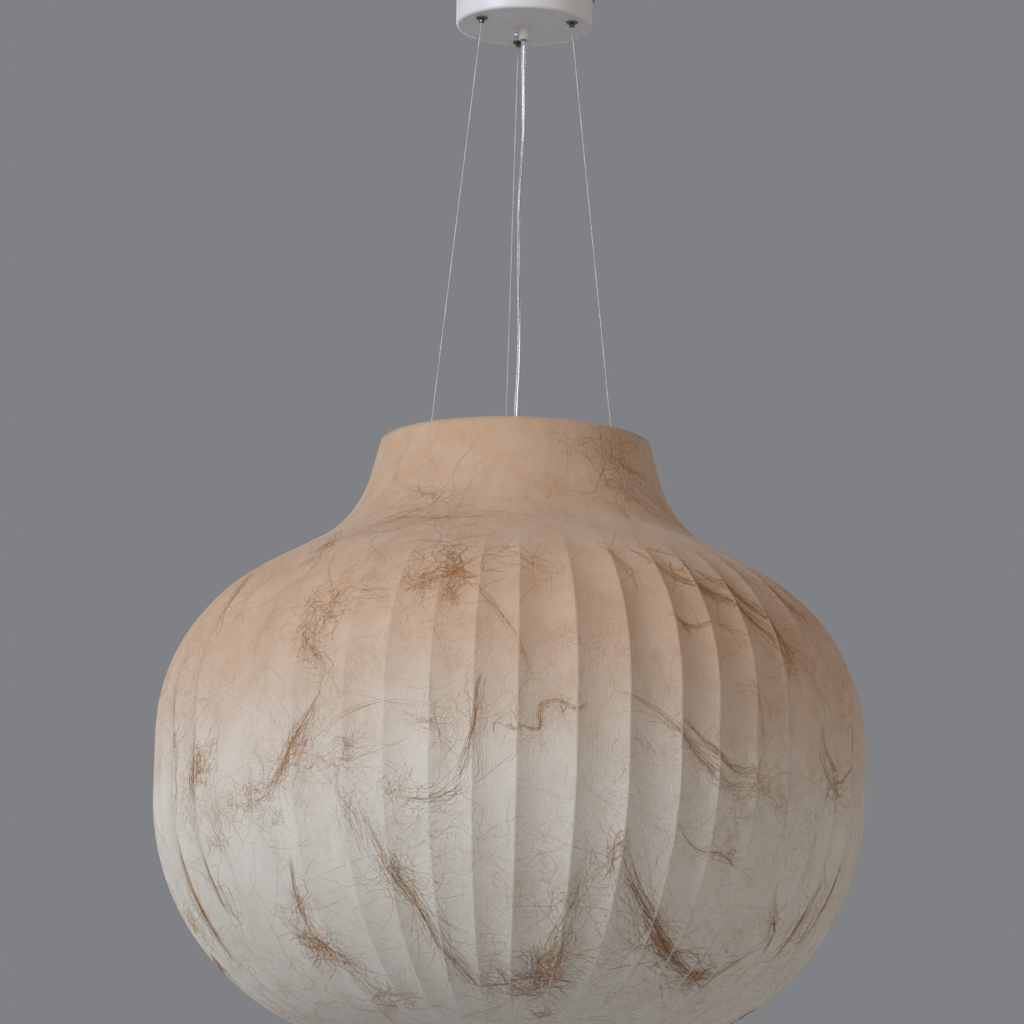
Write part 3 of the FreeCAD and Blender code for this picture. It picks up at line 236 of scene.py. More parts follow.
def worked(name, colours, roughness, metallic=0, patch=6 * MM, mark=1 * MM, depth=0.02 * MM,
           stretch=(1, 1, 1), **sockets):
    """A finish with two close colours and two roughnesses in patches of one size, and marks of
    another size and depth, all in metres. Marks are longer where stretch is less than 1."""
    material, tree, shader = finish_named(name, colours[0], roughness[0], metallic, **sockets)
    place = layer(tree, "TexCoord", out="Object")
    patches = layer(tree, "TexNoise", {"Scale": 1 / patch, "Detail": 4}, Vector=place)
    share = layer(tree, "MapRange", {"From Min": 0.33, "From Max": 0.67}, Value=patches)
    colour = layer(tree, "Mix", {
        "data_type": "RGBA", 6: linear(colours[0]), 7: linear(colours[1])}, 2, Factor=share)
    gloss = layer(tree, "MapRange", {"To Min": roughness[0], "To Max": roughness[1]}, Value=share)
    drawn = layer(tree, "Mapping", {"Scale": stretch}, Vector=place)
    marks = layer(tree, "TexNoise", {"Scale": 1 / mark, "Detail": 2}, Vector=drawn)
    relief = layer(tree, "Bump", {"Distance": depth}, out="Normal", Height=marks)
    tree.links.new(colour, shader.inputs["Base Color"])
    tree.links.new(gloss, shader.inputs["Roughness"])
    tree.links.new(relief, shader.inputs["Normal"])
    return material


# %% [markdown]
# The flex is flat twin PVC: two tinned copper strands side by side in clear insulation, which
# touches along its middle. It is made as a figure-of-eight section swept along the spline, with a
# slow twist, since flex off a reel never hangs flat, and the two conductors inside as twisted
# strands. Real refraction in the jacket gives the bright streaks that clear flex has.

# %% Clear PVC and tinned copper
# Extruded PVC shows faint lengthwise drawing marks about half a millimetre apart.
clear_pvc = worked("clear_pvc_extruded", ("#EDECF6", "#F2F1F8"), (0.1, 0.16), patch=8 * MM,
                   mark=0.5 * MM, depth=0.05 * MM, stretch=(1, 1, 0.08), IOR=1.53,
                   Transmission_Weight=0.8)
# Tin over drawn copper: a bright, slightly lilac metal, streaked along each strand.
tinned_copper = worked("tinned_copper_strands", ("#D0CED8", "#DCD9E0"), (0.22, 0.42), 1,
                       patch=1 * MM, mark=0.4 * MM, depth=0.01 * MM, stretch=(1, 1, 0.3))

# %% Free flex
FLEX_WIDTH = 4.4 * MM
CORE_RADIUS = 1.15 * MM
CORE_OFFSET = FLEX_WIDTH / 2 - CORE_RADIUS
TWIST_PER_METRE = 7.5
COPPER_STRANDS = 3
COPPER_RADIUS = 0.28 * MM
COPPER_OFFSET = 0.26 * MM
COPPER_LAY = 12 * MM
flex_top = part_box("flex")[1].z
flex_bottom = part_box("flex")[0].z
FLEX_ROUTE = [
    (0, 0, flex_top), (0, 0, flex_top - 0.028), (0.0019, 0.0006, flex_top - 0.0743),
    (-0.0006, 0.0015, flex_top - 0.131), (-0.0017, -0.0003, flex_top - 0.1892),
    (0.0009, -0.0013, flex_top - 0.2477), (0.0013, 0.0005, flex_top - 0.2962),
    (0, 0, flex_bottom + 0.032), (0, 0, flex_bottom)]


def twin_section(corners=9):
    """Outline of the two touching insulated cores."""
    half_open = math.radians(42)
    turns = np.linspace(half_open - math.pi, math.pi - half_open, corners)
    right = np.stack([CORE_OFFSET + CORE_RADIUS * np.cos(turns), CORE_RADIUS * np.sin(turns)], 1)
    return np.concatenate([right, -right])


def laid_round(sides, throughs, turn):
    """The direction at each point that stands at this turn round the line, in radians."""
    return sides * np.cos(turn)[:, None] + throughs * np.sin(turn)[:, None]


def twin_flex(name, route, start_twist=0.0):
    """The clear jacket and its two stranded conductors along a route."""
    points = evenly(laid_line(route), 2 * MM)
    twist = start_twist + TWIST_PER_METRE * along_line(points)
    jacket = made_of(name, [swept(points, twin_section(), twist=twist)], clear_pvc)
    fine = evenly(points, 1 * MM)
    distance = along_line(fine)
    sides, throughs = carried_sides(fine, (1, 0, 0))
    across = laid_round(sides, throughs, start_twist + TWIST_PER_METRE * distance)
    coppers = []
    for way in (-1, 1):
        for number in range(COPPER_STRANDS):
            turn = 2 * math.pi * (distance / COPPER_LAY + number / COPPER_STRANDS)
            offset = laid_round(sides, throughs, turn) * COPPER_OFFSET
            coppers.append(swept(fine + across * way * CORE_OFFSET + offset,
                                 ring_section(COPPER_RADIUS, 5)))
    conductors = made_of(name + "_conductors", coppers, tinned_copper)
    return jacket, conductors, points


flex, flex_conductors, flex_points = twin_flex("free_flex", FLEX_ROUTE, start_twist=0.35)
flex_length = along_line(flex_points)[-1]
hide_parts("flex")
for piece in (flex, flex_conductors):
    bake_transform(piece)
print("free flex length", round(flex_length, 4))

# %% [markdown]
# Each suspension wire is galvanised steel rope, 1.2 mm thick: six strands laid round a core. From
# across a room it reads as one thin line that sparkles, because each strand catches the light in
# its own place. A bump on a cylinder would do from afar, but the strands are cheap to make.

# %% Steel rope
# Zinc on drawn wire: light grey, and rough enough to look pale from every side.
steel_rope = worked("drawn_steel_rope", ("#D8D8D8", "#E6E6E5"), (0.42, 0.55), 1, patch=2 * MM,
                    mark=0.3 * MM, depth=0.01 * MM)
ROPE_RADIUS = 0.6 * MM
ROPE_STRANDS = 6
STRAND_RADIUS = 0.21 * MM
ROPE_CORE_RADIUS = ROPE_RADIUS - 1.9 * STRAND_RADIUS
LAY_LENGTH = 7 * MM


def rope(name, route):
    """A core and its strands along a route, as one piece, and the points of its line."""
    points = evenly(laid_line(route), 0.6 * MM)
    distance = along_line(points)
    sides, throughs = carried_sides(points, (1, 0, 0))
    parts = [swept(points[::4], ring_section(ROPE_CORE_RADIUS, 6))]
    for number in range(ROPE_STRANDS):
        turn = 2 * math.pi * (distance / LAY_LENGTH + number / ROPE_STRANDS)
        out = laid_round(sides, throughs, turn)
        parts.append(swept(points + out * (ROPE_RADIUS - STRAND_RADIUS),
                           ring_section(STRAND_RADIUS, 4)))
    piece = made_of(name, parts, steel_rope)
    return piece, points


GRIPPER_CIRCLE = 0.046
WIRE_DIRECTIONS = {"left": 210, "right": 330, "back": 90}
GRIPPER_FACE = -0.038
WIRE_STOP_CIRCLE = 0.096
TAIL_RISE, TAIL_IN, TAIL_ASIDE = 25 * MM, 10 * MM, 6 * MM


def on_circle(radius, direction, z):
    """The place at this radius, direction in degrees and height."""
    turn = math.radians(direction)
    return Vector((radius * math.cos(turn), radius * math.sin(turn), z))


for side, direction in WIRE_DIRECTIONS.items():
    low_end, high_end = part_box(f"suspension_wire_{side}")
    top = on_circle(GRIPPER_CIRCLE, direction, high_end.z - ROPE_RADIUS)
    bottom = on_circle(WIRE_STOP_CIRCLE, direction, low_end.z + 0.0001)
    wire, wire_points = rope(f"steel_rope_{side}", [top, top.lerp(bottom, 0.5), bottom])
    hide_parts(f"suspension_wire_{side}")
    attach(wire, f"wire_{side}")
    out = on_circle(1, direction, 0)
    aside = Vector((-out.y, out.x, 0))
    start = on_circle(GRIPPER_CIRCLE, direction, top.z + ROPE_RADIUS * 1.5)
    crest = on_circle(GRIPPER_CIRCLE, direction, GRIPPER_FACE + TAIL_RISE)
    end = crest - out * TAIL_IN + aside * TAIL_ASIDE + Vector((0, 0, TAIL_ASIDE))
    tail, _ = rope(f"rope_tail_{side}", [start, start.lerp(crest, 0.6), crest, end])
    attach(tail, "canopy")
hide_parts("suspension_wire_tails")
print("steel ropes", len(wire_points), "points each")

# %% [markdown]
# Inside the canopy and the lampholder the flex is out of sight from below, but it shows from above
# and through the neck. Its ends are made the same way, and its two cores part and go to the
# terminals as plain round insulated wires with a bend of several diameters.

# %% Flex ends and cores
core_pvc = worked("core_insulation_pvc", ("#D2D4DF", "#DCDEE6"), (0.26, 0.34), mark=1 * MM,
                  depth=0.04 * MM, IOR=1.53, Transmission_Weight=0.3)

SLEEVE_RADIUS = 2.4 * MM
CANOPY_STEEL = 1.2 * MM
CORE_WIRE_RADIUS = 0.9 * MM
sleeve_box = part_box("terminal_sleeves")
sleeve_level = (sleeve_box[0].z + sleeve_box[1].z) / 2
near_pole = sleeve_box[0].x + SLEEVE_RADIUS
far_pole = sleeve_box[1].x - SLEEVE_RADIUS
holder_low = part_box("flex_end_in_lampholder")[0].z
plate_top = GRIPPER_FACE + CANOPY_STEEL
split = Vector((0.003, -0.012, plate_top + 0.019))

canopy_end, canopy_conductors, _ = twin_flex(
    "flex_end_above_grip", [(0, 0, flex_top), (0, 0, plate_top + 0.005),
                            (0, 0, plate_top + 0.012), split])
holder_end, holder_conductors, _ = twin_flex(
    "flex_end_in_cap", [(0, 0, flex_bottom), (0, 0, (flex_bottom + holder_low) / 2),
                        (0, 0, holder_low)])
for piece, body in ((canopy_end, "canopy"), (canopy_conductors, "canopy"),
                    (holder_end, "shade"), (holder_conductors, "shade")):
    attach(piece, body)
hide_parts("flex_end_in_canopy")
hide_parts("flex_end_in_lampholder")


def cores(name, routes, body, node):
    """Round insulated cores along their routes, as one piece."""
    parts = [swept(evenly(laid_line(route), 1 * MM), ring_section(CORE_WIRE_RADIUS, 10),
                   (0, 0.3, 1)) for route in routes]
    piece = made_of(name, parts, core_pvc)
    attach(piece, body)
    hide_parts(node)


cores("cores_to_block", [
    [(0.0039, -0.0124, split.z), (0.009, -0.018, sleeve_level - 0.001),
     (near_pole, -0.014, sleeve_level), (near_pole, -0.009, sleeve_level),
     (near_pole, -0.005, sleeve_level)],
    [(0.0021, -0.013, split.z), (0.009, -0.0215, sleeve_level - 0.003),
     (0.021, -0.020, sleeve_level - 0.001), (far_pole, -0.014, sleeve_level),
     (far_pole, -0.005, sleeve_level)]], "canopy", "flex_cores_in_canopy")
cores("cores_to_holder", [
    [(way * 0.001, 0, holder_low), (way * 0.001, 0, holder_low - 0.003),
     (way * 0.004, -0.0038, holder_low - 0.006), (way * 0.008, -0.0042, holder_low - 0.0082)]
    for way in (-1, 1)], "shade", "flex_cores_in_lampholder")

# %% [markdown]
# The shade is one skin of long-fibre paper, wetted, stretched and glued over 47 upright wire
# ribs. As it dries it shrinks and pulls inwards between the ribs, so each panel is a shallow
# trough with a crisp ridge on both sides. It could be a cloth simulation, but the shape is simple
# enough to write down: a turned outline, less a hollow that is deepest in mid panel and grows
# with the panel's width. It fades out at the shoulder ring and at the mouth ring, which hold the
# paper round.

# %% Shade outline
RIM_RADIUS, RIM_LEVEL = 0.1173, -0.416
NECK_ANGLE, FLARE_ANGLE, MOUTH_ANGLE = (math.radians(a) for a in (14.5, 61, 80))
NECK_LENGTH, FLARE_RADIUS, SLOPE_LENGTH = 0.0316, 0.105, 0.0512
SHOULDER_RADIUS, BAND_HEIGHT, BELLY_RADIUS = 0.163, 0.0488, 0.212
PAPER = 0.6 * MM


def outline(gap=0.0005):
    """Radius, height and outward lean of the shade's side, in steps from rim to mouth."""
    lengths = (NECK_LENGTH, FLARE_RADIUS * (FLARE_ANGLE - NECK_ANGLE), SLOPE_LENGTH,
               SHOULDER_RADIUS * FLARE_ANGLE, BAND_HEIGHT, BELLY_RADIUS * MOUTH_ANGLE)
    bends = (0, 1 / FLARE_RADIUS, 0, -1 / SHOULDER_RADIUS, 0, -1 / BELLY_RADIUS)
    lean = [NECK_ANGLE]
    for length, bend in zip(lengths, bends):
        steps = round(length / gap)
        lean.extend(lean[-1] + bend * length / steps * np.arange(1, steps + 1))
    lean = np.array(lean)
    middle = (lean[1:] + lean[:-1]) / 2
    step = np.concatenate([np.full(round(n / gap), n / round(n / gap)) for n in lengths])
    radius = RIM_RADIUS + np.concatenate([[0], np.cumsum(step * np.sin(middle))])
    height = RIM_LEVEL - np.concatenate([[0], np.cumsum(step * np.cos(middle))])
    return np.concatenate([[0], np.cumsum(step)]), radius, height, lean


down, side_radius, side_height, side_lean = outline()
SIDE_LENGTH = down[-1]
print("side", round(SIDE_LENGTH, 4), "widest", round(side_radius.max(), 4),
      "mouth", round(side_radius[-1], 4), round(side_height[-1], 4))

# %% Ribs and the hollow between them
RIB_COUNT = 47
RIB_STEPS = (7.2, 8.1, 8.0, 9.3, 6.9, 7.2, 6.8, 6.8, 9.2, 8.4, 8.7, 6.9, 7.6, 7.1, 8.6, 6.2)
FIRST_RIB = -154.8
DEEPEST = 4.4 * MM
WIDEST_RADIUS = 0.305
HOLLOW_STARTS, HOLLOW_FULL = 0.140, 0.250
HOLLOW_FADES, HOLLOW_ENDS = 0.600, 0.682

rib_steps = np.array([RIB_STEPS[n % len(RIB_STEPS)] for n in range(RIB_COUNT)])
rib_steps = rib_steps * 360 / rib_steps.sum()
rib_turns = FIRST_RIB + np.concatenate([[0], np.cumsum(rib_steps)])
chance = np.random.default_rng(47)
panel_pull = 1 + 0.16 * chance.standard_normal(RIB_COUNT).clip(-1.5, 1.5)


def smooth_step(value):
    """An even rise from 0 to 1 that starts and ends gently."""
    value = np.clip(value, 0, 1)
    return value * value * (3 - 2 * value)


def hollow(turn, at):
    """How far the paper is pulled in, at a direction in degrees and a distance down the side."""
    turn = (turn - FIRST_RIB) % 360 + FIRST_RIB
    panel = np.clip(np.searchsorted(rib_turns, turn, side="right") - 1, 0, RIB_COUNT - 1)
    across = (turn - rib_turns[panel]) / rib_steps[panel]
    width_share = (rib_steps[panel] / rib_steps.mean()
                   * np.interp(at, down, side_radius) / WIDEST_RADIUS)
    fade = (smooth_step((at - HOLLOW_STARTS) / (HOLLOW_FULL - HOLLOW_STARTS))
            * smooth_step((HOLLOW_ENDS - at) / (HOLLOW_ENDS - HOLLOW_FADES)))
    trough = 4 * across * (1 - across)
    return DEEPEST * panel_pull[panel] * width_share ** 1.5 * fade * trough


def on_paper(turn, at, lift=0.0):
    """Places on the paper's outer face, and which way is out, for turns and distances down."""
    lean = np.interp(at, down, side_lean)
    depth = hollow(turn, at) - lift
    radius = np.interp(at, down, side_radius) - depth * np.cos(lean)
    height = np.interp(at, down, side_height) - depth * np.sin(lean)
    way = np.radians(turn)
    place = np.stack([radius * np.cos(way), radius * np.sin(way), height], -1)
    out = np.stack([np.cos(lean) * np.cos(way), np.cos(lean) * np.sin(way), np.sin(lean)], -1)
    return place, out


# %% [markdown]
# The paper's colour comes in layers, as it does when it is made: bleached pulp, which is a warm
# off-white; a brush of peach dye from the rim down, which the pulp takes up unevenly, so its lower
# edge is soft and cloudy; and hair-fine fibres in the sheet, too fine to model one by one. They
# are drawn as contour lines of a soft noise: where the noise crosses its middle value there is a
# long, curling, hair-thin line, and two such layers look like pulp.

# %% Dyed fibre paper
DYE_FULL, DYE_GONE = -0.590, -0.785
DYE_SWAY = 0.09
paper_finish, tree, shader = finish_named("dyed_fibre_paper_handmade", "#E8E4DC", 0.85,
                                          Sheen_Weight=0.15, Sheen_Roughness=0.5)
place = layer(tree, "TexCoord", out="Object")
height = layer(tree, "SeparateXYZ", out="Z", Vector=place)
# Clouds of dye 12 cm wide move the dye's edge up and down by a few centimetres.
clouds = layer(tree, "TexNoise", {"Scale": 1 / 0.12, "Detail": 4, "Roughness": 0.6}, Vector=place)
edge = layer(tree, "Math", {"operation": "MULTIPLY_ADD", 1: DYE_SWAY}, n0=clouds, n2=height)
dyed = layer(tree, "MapRange", {
    "interpolation_type": "SMOOTHSTEP", "From Min": DYE_GONE + DYE_SWAY / 2,
    "From Max": DYE_FULL + DYE_SWAY / 2}, Value=edge)
# Where the sheet is thicker it takes up more dye, in patches 5 cm wide.
uptake = layer(tree, "TexNoise", {"Scale": 1 / 0.05, "Detail": 5, "Roughness": 0.65},
               Vector=place)
uptake = layer(tree, "MapRange", {"From Min": 0.3, "From Max": 0.75}, Value=uptake)
dye_colour = layer(tree, "Mix", {
    "data_type": "RGBA", 6: linear("#DEC1A8"), 7: linear("#CEA988")}, 2, Factor=uptake)
pulp_colour = layer(tree, "Mix", {
    "data_type": "RGBA", 6: linear("#E8E5DD"), 7: linear("#DBD6CA")}, 2, Factor=uptake)
body_colour = layer(tree, "Mix", {"data_type": "RGBA"}, 2, Factor=dyed, n6=pulp_colour,
                    n7=dye_colour)
# Bast leaves soft tan stains in the wet sheet, in streaks a few centimetres long.
long_way = layer(tree, "Mapping", {"Scale": (1, 1, 0.45)}, Vector=place)
stains = layer(tree, "TexNoise", {"Scale": 1 / 0.03, "Detail": 6, "Roughness": 0.7},
               Vector=long_way)
stains = layer(tree, "MapRange", {"From Min": 0.56, "From Max": 0.78, "To Max": 0.42},
               Value=stains)
body_colour = layer(tree, "Mix", {"data_type": "RGBA", 7: linear("#BE9068")}, 2, Factor=stains,
                    n6=body_colour)
# Curls of 22 mm and 9 mm, with lines a few tenths of a millimetre wide, drawn a little coarser
# than the real fibres so that they show. Each is where a soft noise crosses its middle value.
curls = []
for curl, width, distortion in ((0.022, 0.012, 1.5), (0.009, 0.020, 0.8)):
    soft = layer(tree, "TexNoise", {"Scale": 1 / curl, "Detail": 2, "Roughness": 0.6,
                                    "Distortion": distortion}, Vector=place)
    off = layer(tree, "Math", {"operation": "SUBTRACT", 1: 0.5}, n0=soft)
    off = layer(tree, "Math", {"operation": "ABSOLUTE"}, n0=off)
    curls.append(layer(tree, "MapRange", {"From Max": width, "To Min": 1, "To Max": 0},
                       Value=off))
hairs = layer(tree, "Math", {"operation": "MAXIMUM"}, n0=curls[0], n1=curls[1])
thick_places = layer(tree, "TexNoise", {"Scale": 1 / 0.06, "Detail": 3}, Vector=place)
thick_places = layer(tree, "MapRange", {"From Min": 0.38, "From Max": 0.62}, Value=thick_places)
hairs = layer(tree, "Math", {"operation": "MULTIPLY"}, n0=hairs, n1=thick_places)
share = layer(tree, "Math", {"operation": "MULTIPLY", 1: 0.34}, n0=hairs)
haired = layer(tree, "Mix", {"data_type": "RGBA", 7: linear("#A57D58")}, 2, Factor=share,
               n6=body_colour)
# Specks of bark about 1 mm across, a few on each hand's breadth of paper.
speck = layer(tree, "TexVoronoi", {"Scale": 28}, Vector=place)
specks = layer(tree, "MapRange", {"From Min": 0.012, "From Max": 0.03, "To Min": 0.6,
                                  "To Max": 0}, Value=speck)
specked = layer(tree, "Mix", {"data_type": "RGBA", 7: linear("#5B4330")}, 2, Factor=specks,
                n6=haired)
tree.links.new(specked, shader.inputs["Base Color"])
# Pulp lies in soft lumps of 3 mm with fine upright brush marks, and hairs stand a little proud.
lumps = layer(tree, "TexNoise", {"Scale": 1 / 0.003, "Detail": 4, "Roughness": 0.6}, Vector=place)
upright = layer(tree, "Mapping", {"Scale": (1, 1, 0.07)}, Vector=place)
strokes = layer(tree, "TexNoise", {"Scale": 1 / 0.0012, "Detail": 2}, Vector=upright)
surface = layer(tree, "Math", {"operation": "ADD"}, n0=lumps, n1=strokes)
surface = layer(tree, "Math", {"operation": "MULTIPLY_ADD", 1: 0.5}, n0=hairs, n2=surface)
relief = layer(tree, "Bump", {"Distance": 0.26 * MM}, out="Normal", Height=surface)
tree.links.new(relief, shader.inputs["Normal"])

# %% Paper skin
PANEL_COLUMNS = (0, 0.025, 0.07, 0.15, 0.26, 0.38, 0.5, 0.62, 0.74, 0.85, 0.93, 0.975)
ROW_GAP = 0.0045


def paper_skin():
    """The sheet as a closed skin: outer and inner face, joined at the rim and the mouth."""
    turns = np.concatenate([rib_turns[n] + rib_steps[n] * np.array(PANEL_COLUMNS)
                            for n in range(RIB_COUNT)])
    rows = np.linspace(0, SIDE_LENGTH, round(SIDE_LENGTH / ROW_GAP) + 1)
    turn_grid, row_grid = np.meshgrid(turns, rows)
    outer, out = on_paper(turn_grid, row_grid)
    inner, out = on_paper(turn_grid, row_grid, -PAPER)
    around, count = len(turns), len(rows)
    face = tube_quads(count, around)[:, [0, 3, 2, 1]]
    start = count * around
    back = face[:, ::-1] + start
    ring = np.arange(around)
    beyond = (ring + 1) % around
    rim = np.stack([ring, beyond, beyond + start, ring + start], -1)
    last = (count - 1) * around
    mouth = np.stack([ring + last, ring + last + start, beyond + last + start, beyond + last], -1)
    faces = np.concatenate([face, back, rim, mouth])
    vertices = np.concatenate([outer.reshape(-1, 3), inner.reshape(-1, 3)])
    return made_of("paper_skin", [(vertices, faces.tolist())], paper_finish)


paper_skin_piece = paper_skin()
print("paper skin", len(paper_skin_piece.data.polygons), "faces")

# %% [markdown]
# Plant fibres as fine as hair lie in the paper's surface, pulled by hand into strands, loops and
# knots before the glue sets. Hair systems don't export as solid meshes, so each fibre is a thin
# three-sided tube. A strand is described as a hand lays it: a few places it passes through, how
# many fibres go with it, how far they stray and how much they curl.

# %% Plant fibres
# Bast is brown where bark stays on it, tan where it was scraped clean and straw where bleached.
BAST_TONES = {"dark": ("#5A3610", "#7B4E1C"), "tan": ("#915D1E", "#B37A34"),
              "straw": ("#B4833C", "#D0A062")}
bast = {tone: worked(f"plant_fibre_bast_{tone}", colours, (0.55, 0.7), patch=12 * MM,
                     mark=0.5 * MM, depth=0.02 * MM) for tone, colours in BAST_TONES.items()}

FRONT = -90
LINE_POINTS = 80
EDGE_MARGIN = 1.5 * MM
chance = np.random.default_rng(11)


def wander(count, reach, curl):
    """A slow random drift of this many points, up to about reach, quicker where curl is more."""
    along = np.linspace(0, 1, count)
    drift = np.zeros(count)
    for wave in range(1, 4):
        drift += (chance.standard_normal() / wave ** 1.7
                  * np.sin(2 * math.pi * (wave * curl * along + chance.random())))
    return reach * (drift - drift[0] * (1 - along))


def fibre(turns, downs, radius):
    """One thin closed tube lying in the paper's face."""
    downs = np.clip(downs, EDGE_MARGIN, SIDE_LENGTH - EDGE_MARGIN)
    place, out = on_paper(turns, downs, radius * 0.45)
    tangent = np.gradient(place, axis=0)
    tangent /= np.linalg.norm(tangent, axis=1)[:, None] + 1e-12
    side = np.cross(tangent, out)
    taper = np.minimum(1, np.minimum(np.arange(len(turns)), np.arange(len(turns))[::-1]) / 3 + 0.3)
    thick = radius * taper[:, None]
    return closed_tube(np.stack([place + out * thick,
                                 place - out * thick * 0.5 + side * thick * 0.9,
                                 place - out * thick * 0.5 - side * thick * 0.9], 1))


def strand_line(places, count):
    """A smooth line through the given places, as (degrees from the front, metres down)."""
    places = np.array(places, float)
    route = [(turn / 100, at, 0) for turn, at in places]
    points = evenly(laid_line(route), 4 * MM) if len(route) > 2 else np.array(route)
    share = np.linspace(0, 1, count)
    distance = along_line(points)
    distance = distance / distance[-1]
    return (np.interp(share, distance, points[:, 0]) * 100,
            np.interp(share, distance, points[:, 1]))


def strand(places, fibres, stray, curl=1.0, radius=0.12, loose=0.5):
    """Fibres that follow one line: most in a tight core, the rest straying and peeling off it.
    Stray is in millimetres, and loose is how much the ends vary."""
    made = []
    places = [(turn, at * MM) for turn, at in places]
    line_turns, line_downs = strand_line(places, LINE_POINTS)
    for _ in range(fibres + fibres // 2):
        count = int(chance.integers(22, 34))
        core = chance.random() < 0.5
        start = chance.random() * loose
        stop = 1 - chance.random() * loose
        part = np.linspace(start, stop, count) * (LINE_POINTS - 1)
        turns = np.interp(part, np.arange(LINE_POINTS), line_turns)
        downs = np.interp(part, np.arange(LINE_POINTS), line_downs)
        around = np.interp(downs, down, side_radius)
        spread = stray * MM * (0.55 if core else chance.uniform(0.8, 1.9))
        aside = chance.standard_normal() * spread * 0.6 + wander(count, spread * 0.7, curl)
        along = wander(count, spread * 0.5, curl)
        if not core:
            share = np.linspace(0, 1, count)[::chance.choice((-1, 1))]
            aside += chance.standard_normal() * spread * 3 * np.clip(share - 0.45, 0, 1) ** 2 * 3
        heading = np.arctan2(np.gradient(downs), np.gradient(np.radians(turns) * around))
        turns = turns + np.degrees((-np.sin(heading) * aside + np.cos(heading) * along) / around)
        downs = downs + np.cos(heading) * aside + np.sin(heading) * along
        size = radius * MM * (chance.uniform(0.7, 1.3) if core else chance.uniform(0.55, 1))
        made.append(fibre(turns + FRONT, downs, size))
    return made


def tangle(turn, at, fibres, across, curl=1.5, radius=0.1, about=0.32):
    """Bowed fibres thrown across one place. Across is the tangle's size in millimetres, and
    about is the share of it that the fibres' middles lie in: less makes a tighter knot."""
    made = []
    for _ in range(fibres):
        count = int(chance.integers(16, 30))
        step = across * MM * chance.uniform(0.5, 2.1) / count
        bow = chance.standard_normal() * curl * np.linspace(0, 1, count)
        heading = chance.uniform(0, 2 * math.pi) + bow + wander(count, curl * 0.55, 1.3)
        sideways = np.cumsum(np.cos(heading)) * step
        downwards = np.cumsum(np.sin(heading)) * step
        middle = int(chance.integers(0, count))
        centre = chance.standard_normal(2) * across * MM * about
        sideways += centre[0] - sideways[middle]
        downwards += centre[1] - downwards[middle]
        downs = np.clip(at * MM + downwards, 2 * MM, SIDE_LENGTH - 2 * MM)
        around = np.interp(downs, down, side_radius)
        turns = turn + np.degrees(sideways / around)
        made.append(fibre(turns + FRONT, downs, radius * MM * chance.uniform(0.6, 1.5)))
    return made


# %% [markdown]
# The front is laid zone by zone. A strand gives the places it passes through, then its fibres,
# stray, curl, radius and looseness; a tangle gives its place, then its fibres and its size. Places
# are (degrees from the front, millimetres down the side).

# %% Laying fibres on the front
strands = []


def lay(zone, *bundles):
    """Add this zone's strands and tangles, in the order they are laid."""
    strands.extend(part for bundle in bundles for part in bundle)
    print(zone, sum(len(bundle) for bundle in bundles), "fibres")


# %% Knot high on the left of the middle, with its fan
lay("knot and fan",
    tangle(-16, 231, 40, 24, curl=2, radius=0.12, about=0.14),
    tangle(-19, 222, 50, 46, about=0.4),
    strand([(-16, 231), (-20, 240), (-25, 256)], 16, 5),
    strand([(-17, 230), (-21, 231), (-26, 246)], 12, 7),
    strand([(-16, 231), (-12, 250), (-9, 268), (-5, 300), (-2, 345)], 7, 4, 0.6),
    strand([(-16, 230), (-18, 212), (-21, 196), (-19, 186)], 7, 6),
    strand([(-16, 232), (-15, 216), (-17, 203)], 6, 3),
    strand([(-17, 236), (-16, 258), (-16, 275)], 16, 7, 1.5, 0.09),
    strand([(-26, 250), (-32, 252), (-36, 246), (-33, 226)], 6, 4, 0.8, 0.09),
    strand([(-26, 258), (-30, 262), (-36, 254)], 5, 4, 0.8, 0.09))

# %% Cluster and falling bundle on the left
lay("left cluster and bundle",
    tangle(-38, 252, 44, 26),
    tangle(-37, 272, 34, 24),
    strand([(-42, 272), (-41, 290), (-38, 312), (-36, 326), (-38, 345)], 18, 6),
    tangle(-40, 285, 26, 22),
    strand([(-36, 335), (-39, 360), (-42, 388), (-45, 412), (-49, 430)], 44, 7, 0.8, 0.1),
    strand([(-35, 338), (-38, 372), (-43, 402), (-47, 424)], 20, 11, 1.2, 0.1),
    strand([(-45, 415), (-49, 428), (-53, 431), (-58, 422)], 12, 6),
    strand([(-45, 420), (-44, 436), (-46, 448), (-49, 444)], 6, 4, 1.5),
    tangle(-50, 420, 34, 26, about=0.2),
    tangle(-57, 430, 22, 24))

# %% Long thin runs across the middle left
lay("middle left runs",
    strand([(-42, 402), (-37, 380), (-31, 358), (-25, 352), (-20, 356), (-16, 348)], 4, 3, 0.7),
    strand([(-44, 412), (-38, 398), (-34, 382), (-31, 386)], 7, 5, 1),
    strand([(-40, 408), (-34, 402), (-26, 392), (-20, 378)], 6, 7, 1, 0.1),
    tangle(-31, 385, 26, 20),
    strand([(-25, 353), (-20, 368), (-16, 372), (-13, 366)], 7, 8, 1.3, 0.09),
    tangle(-17, 366, 26, 28, radius=0.09),
    strand([(-34, 384), (-33, 420), (-31, 452), (-29, 490)], 10, 5, 0.8, 0.1))

# %% Upright bundle left of the middle, turning back at its foot
lay("upright bundle",
    strand([(-9, 326), (-11, 330), (-11, 362), (-12, 394), (-14, 420)], 16, 3.5, 0.6),
    strand([(-11, 352), (-11, 395), (-14, 424), (-19, 434), (-25, 428)], 12, 5, 0.8),
    strand([(-27, 418), (-25, 430), (-22, 428)], 4, 3, 1.2),
    tangle(-22, 424, 22, 30, radius=0.09))

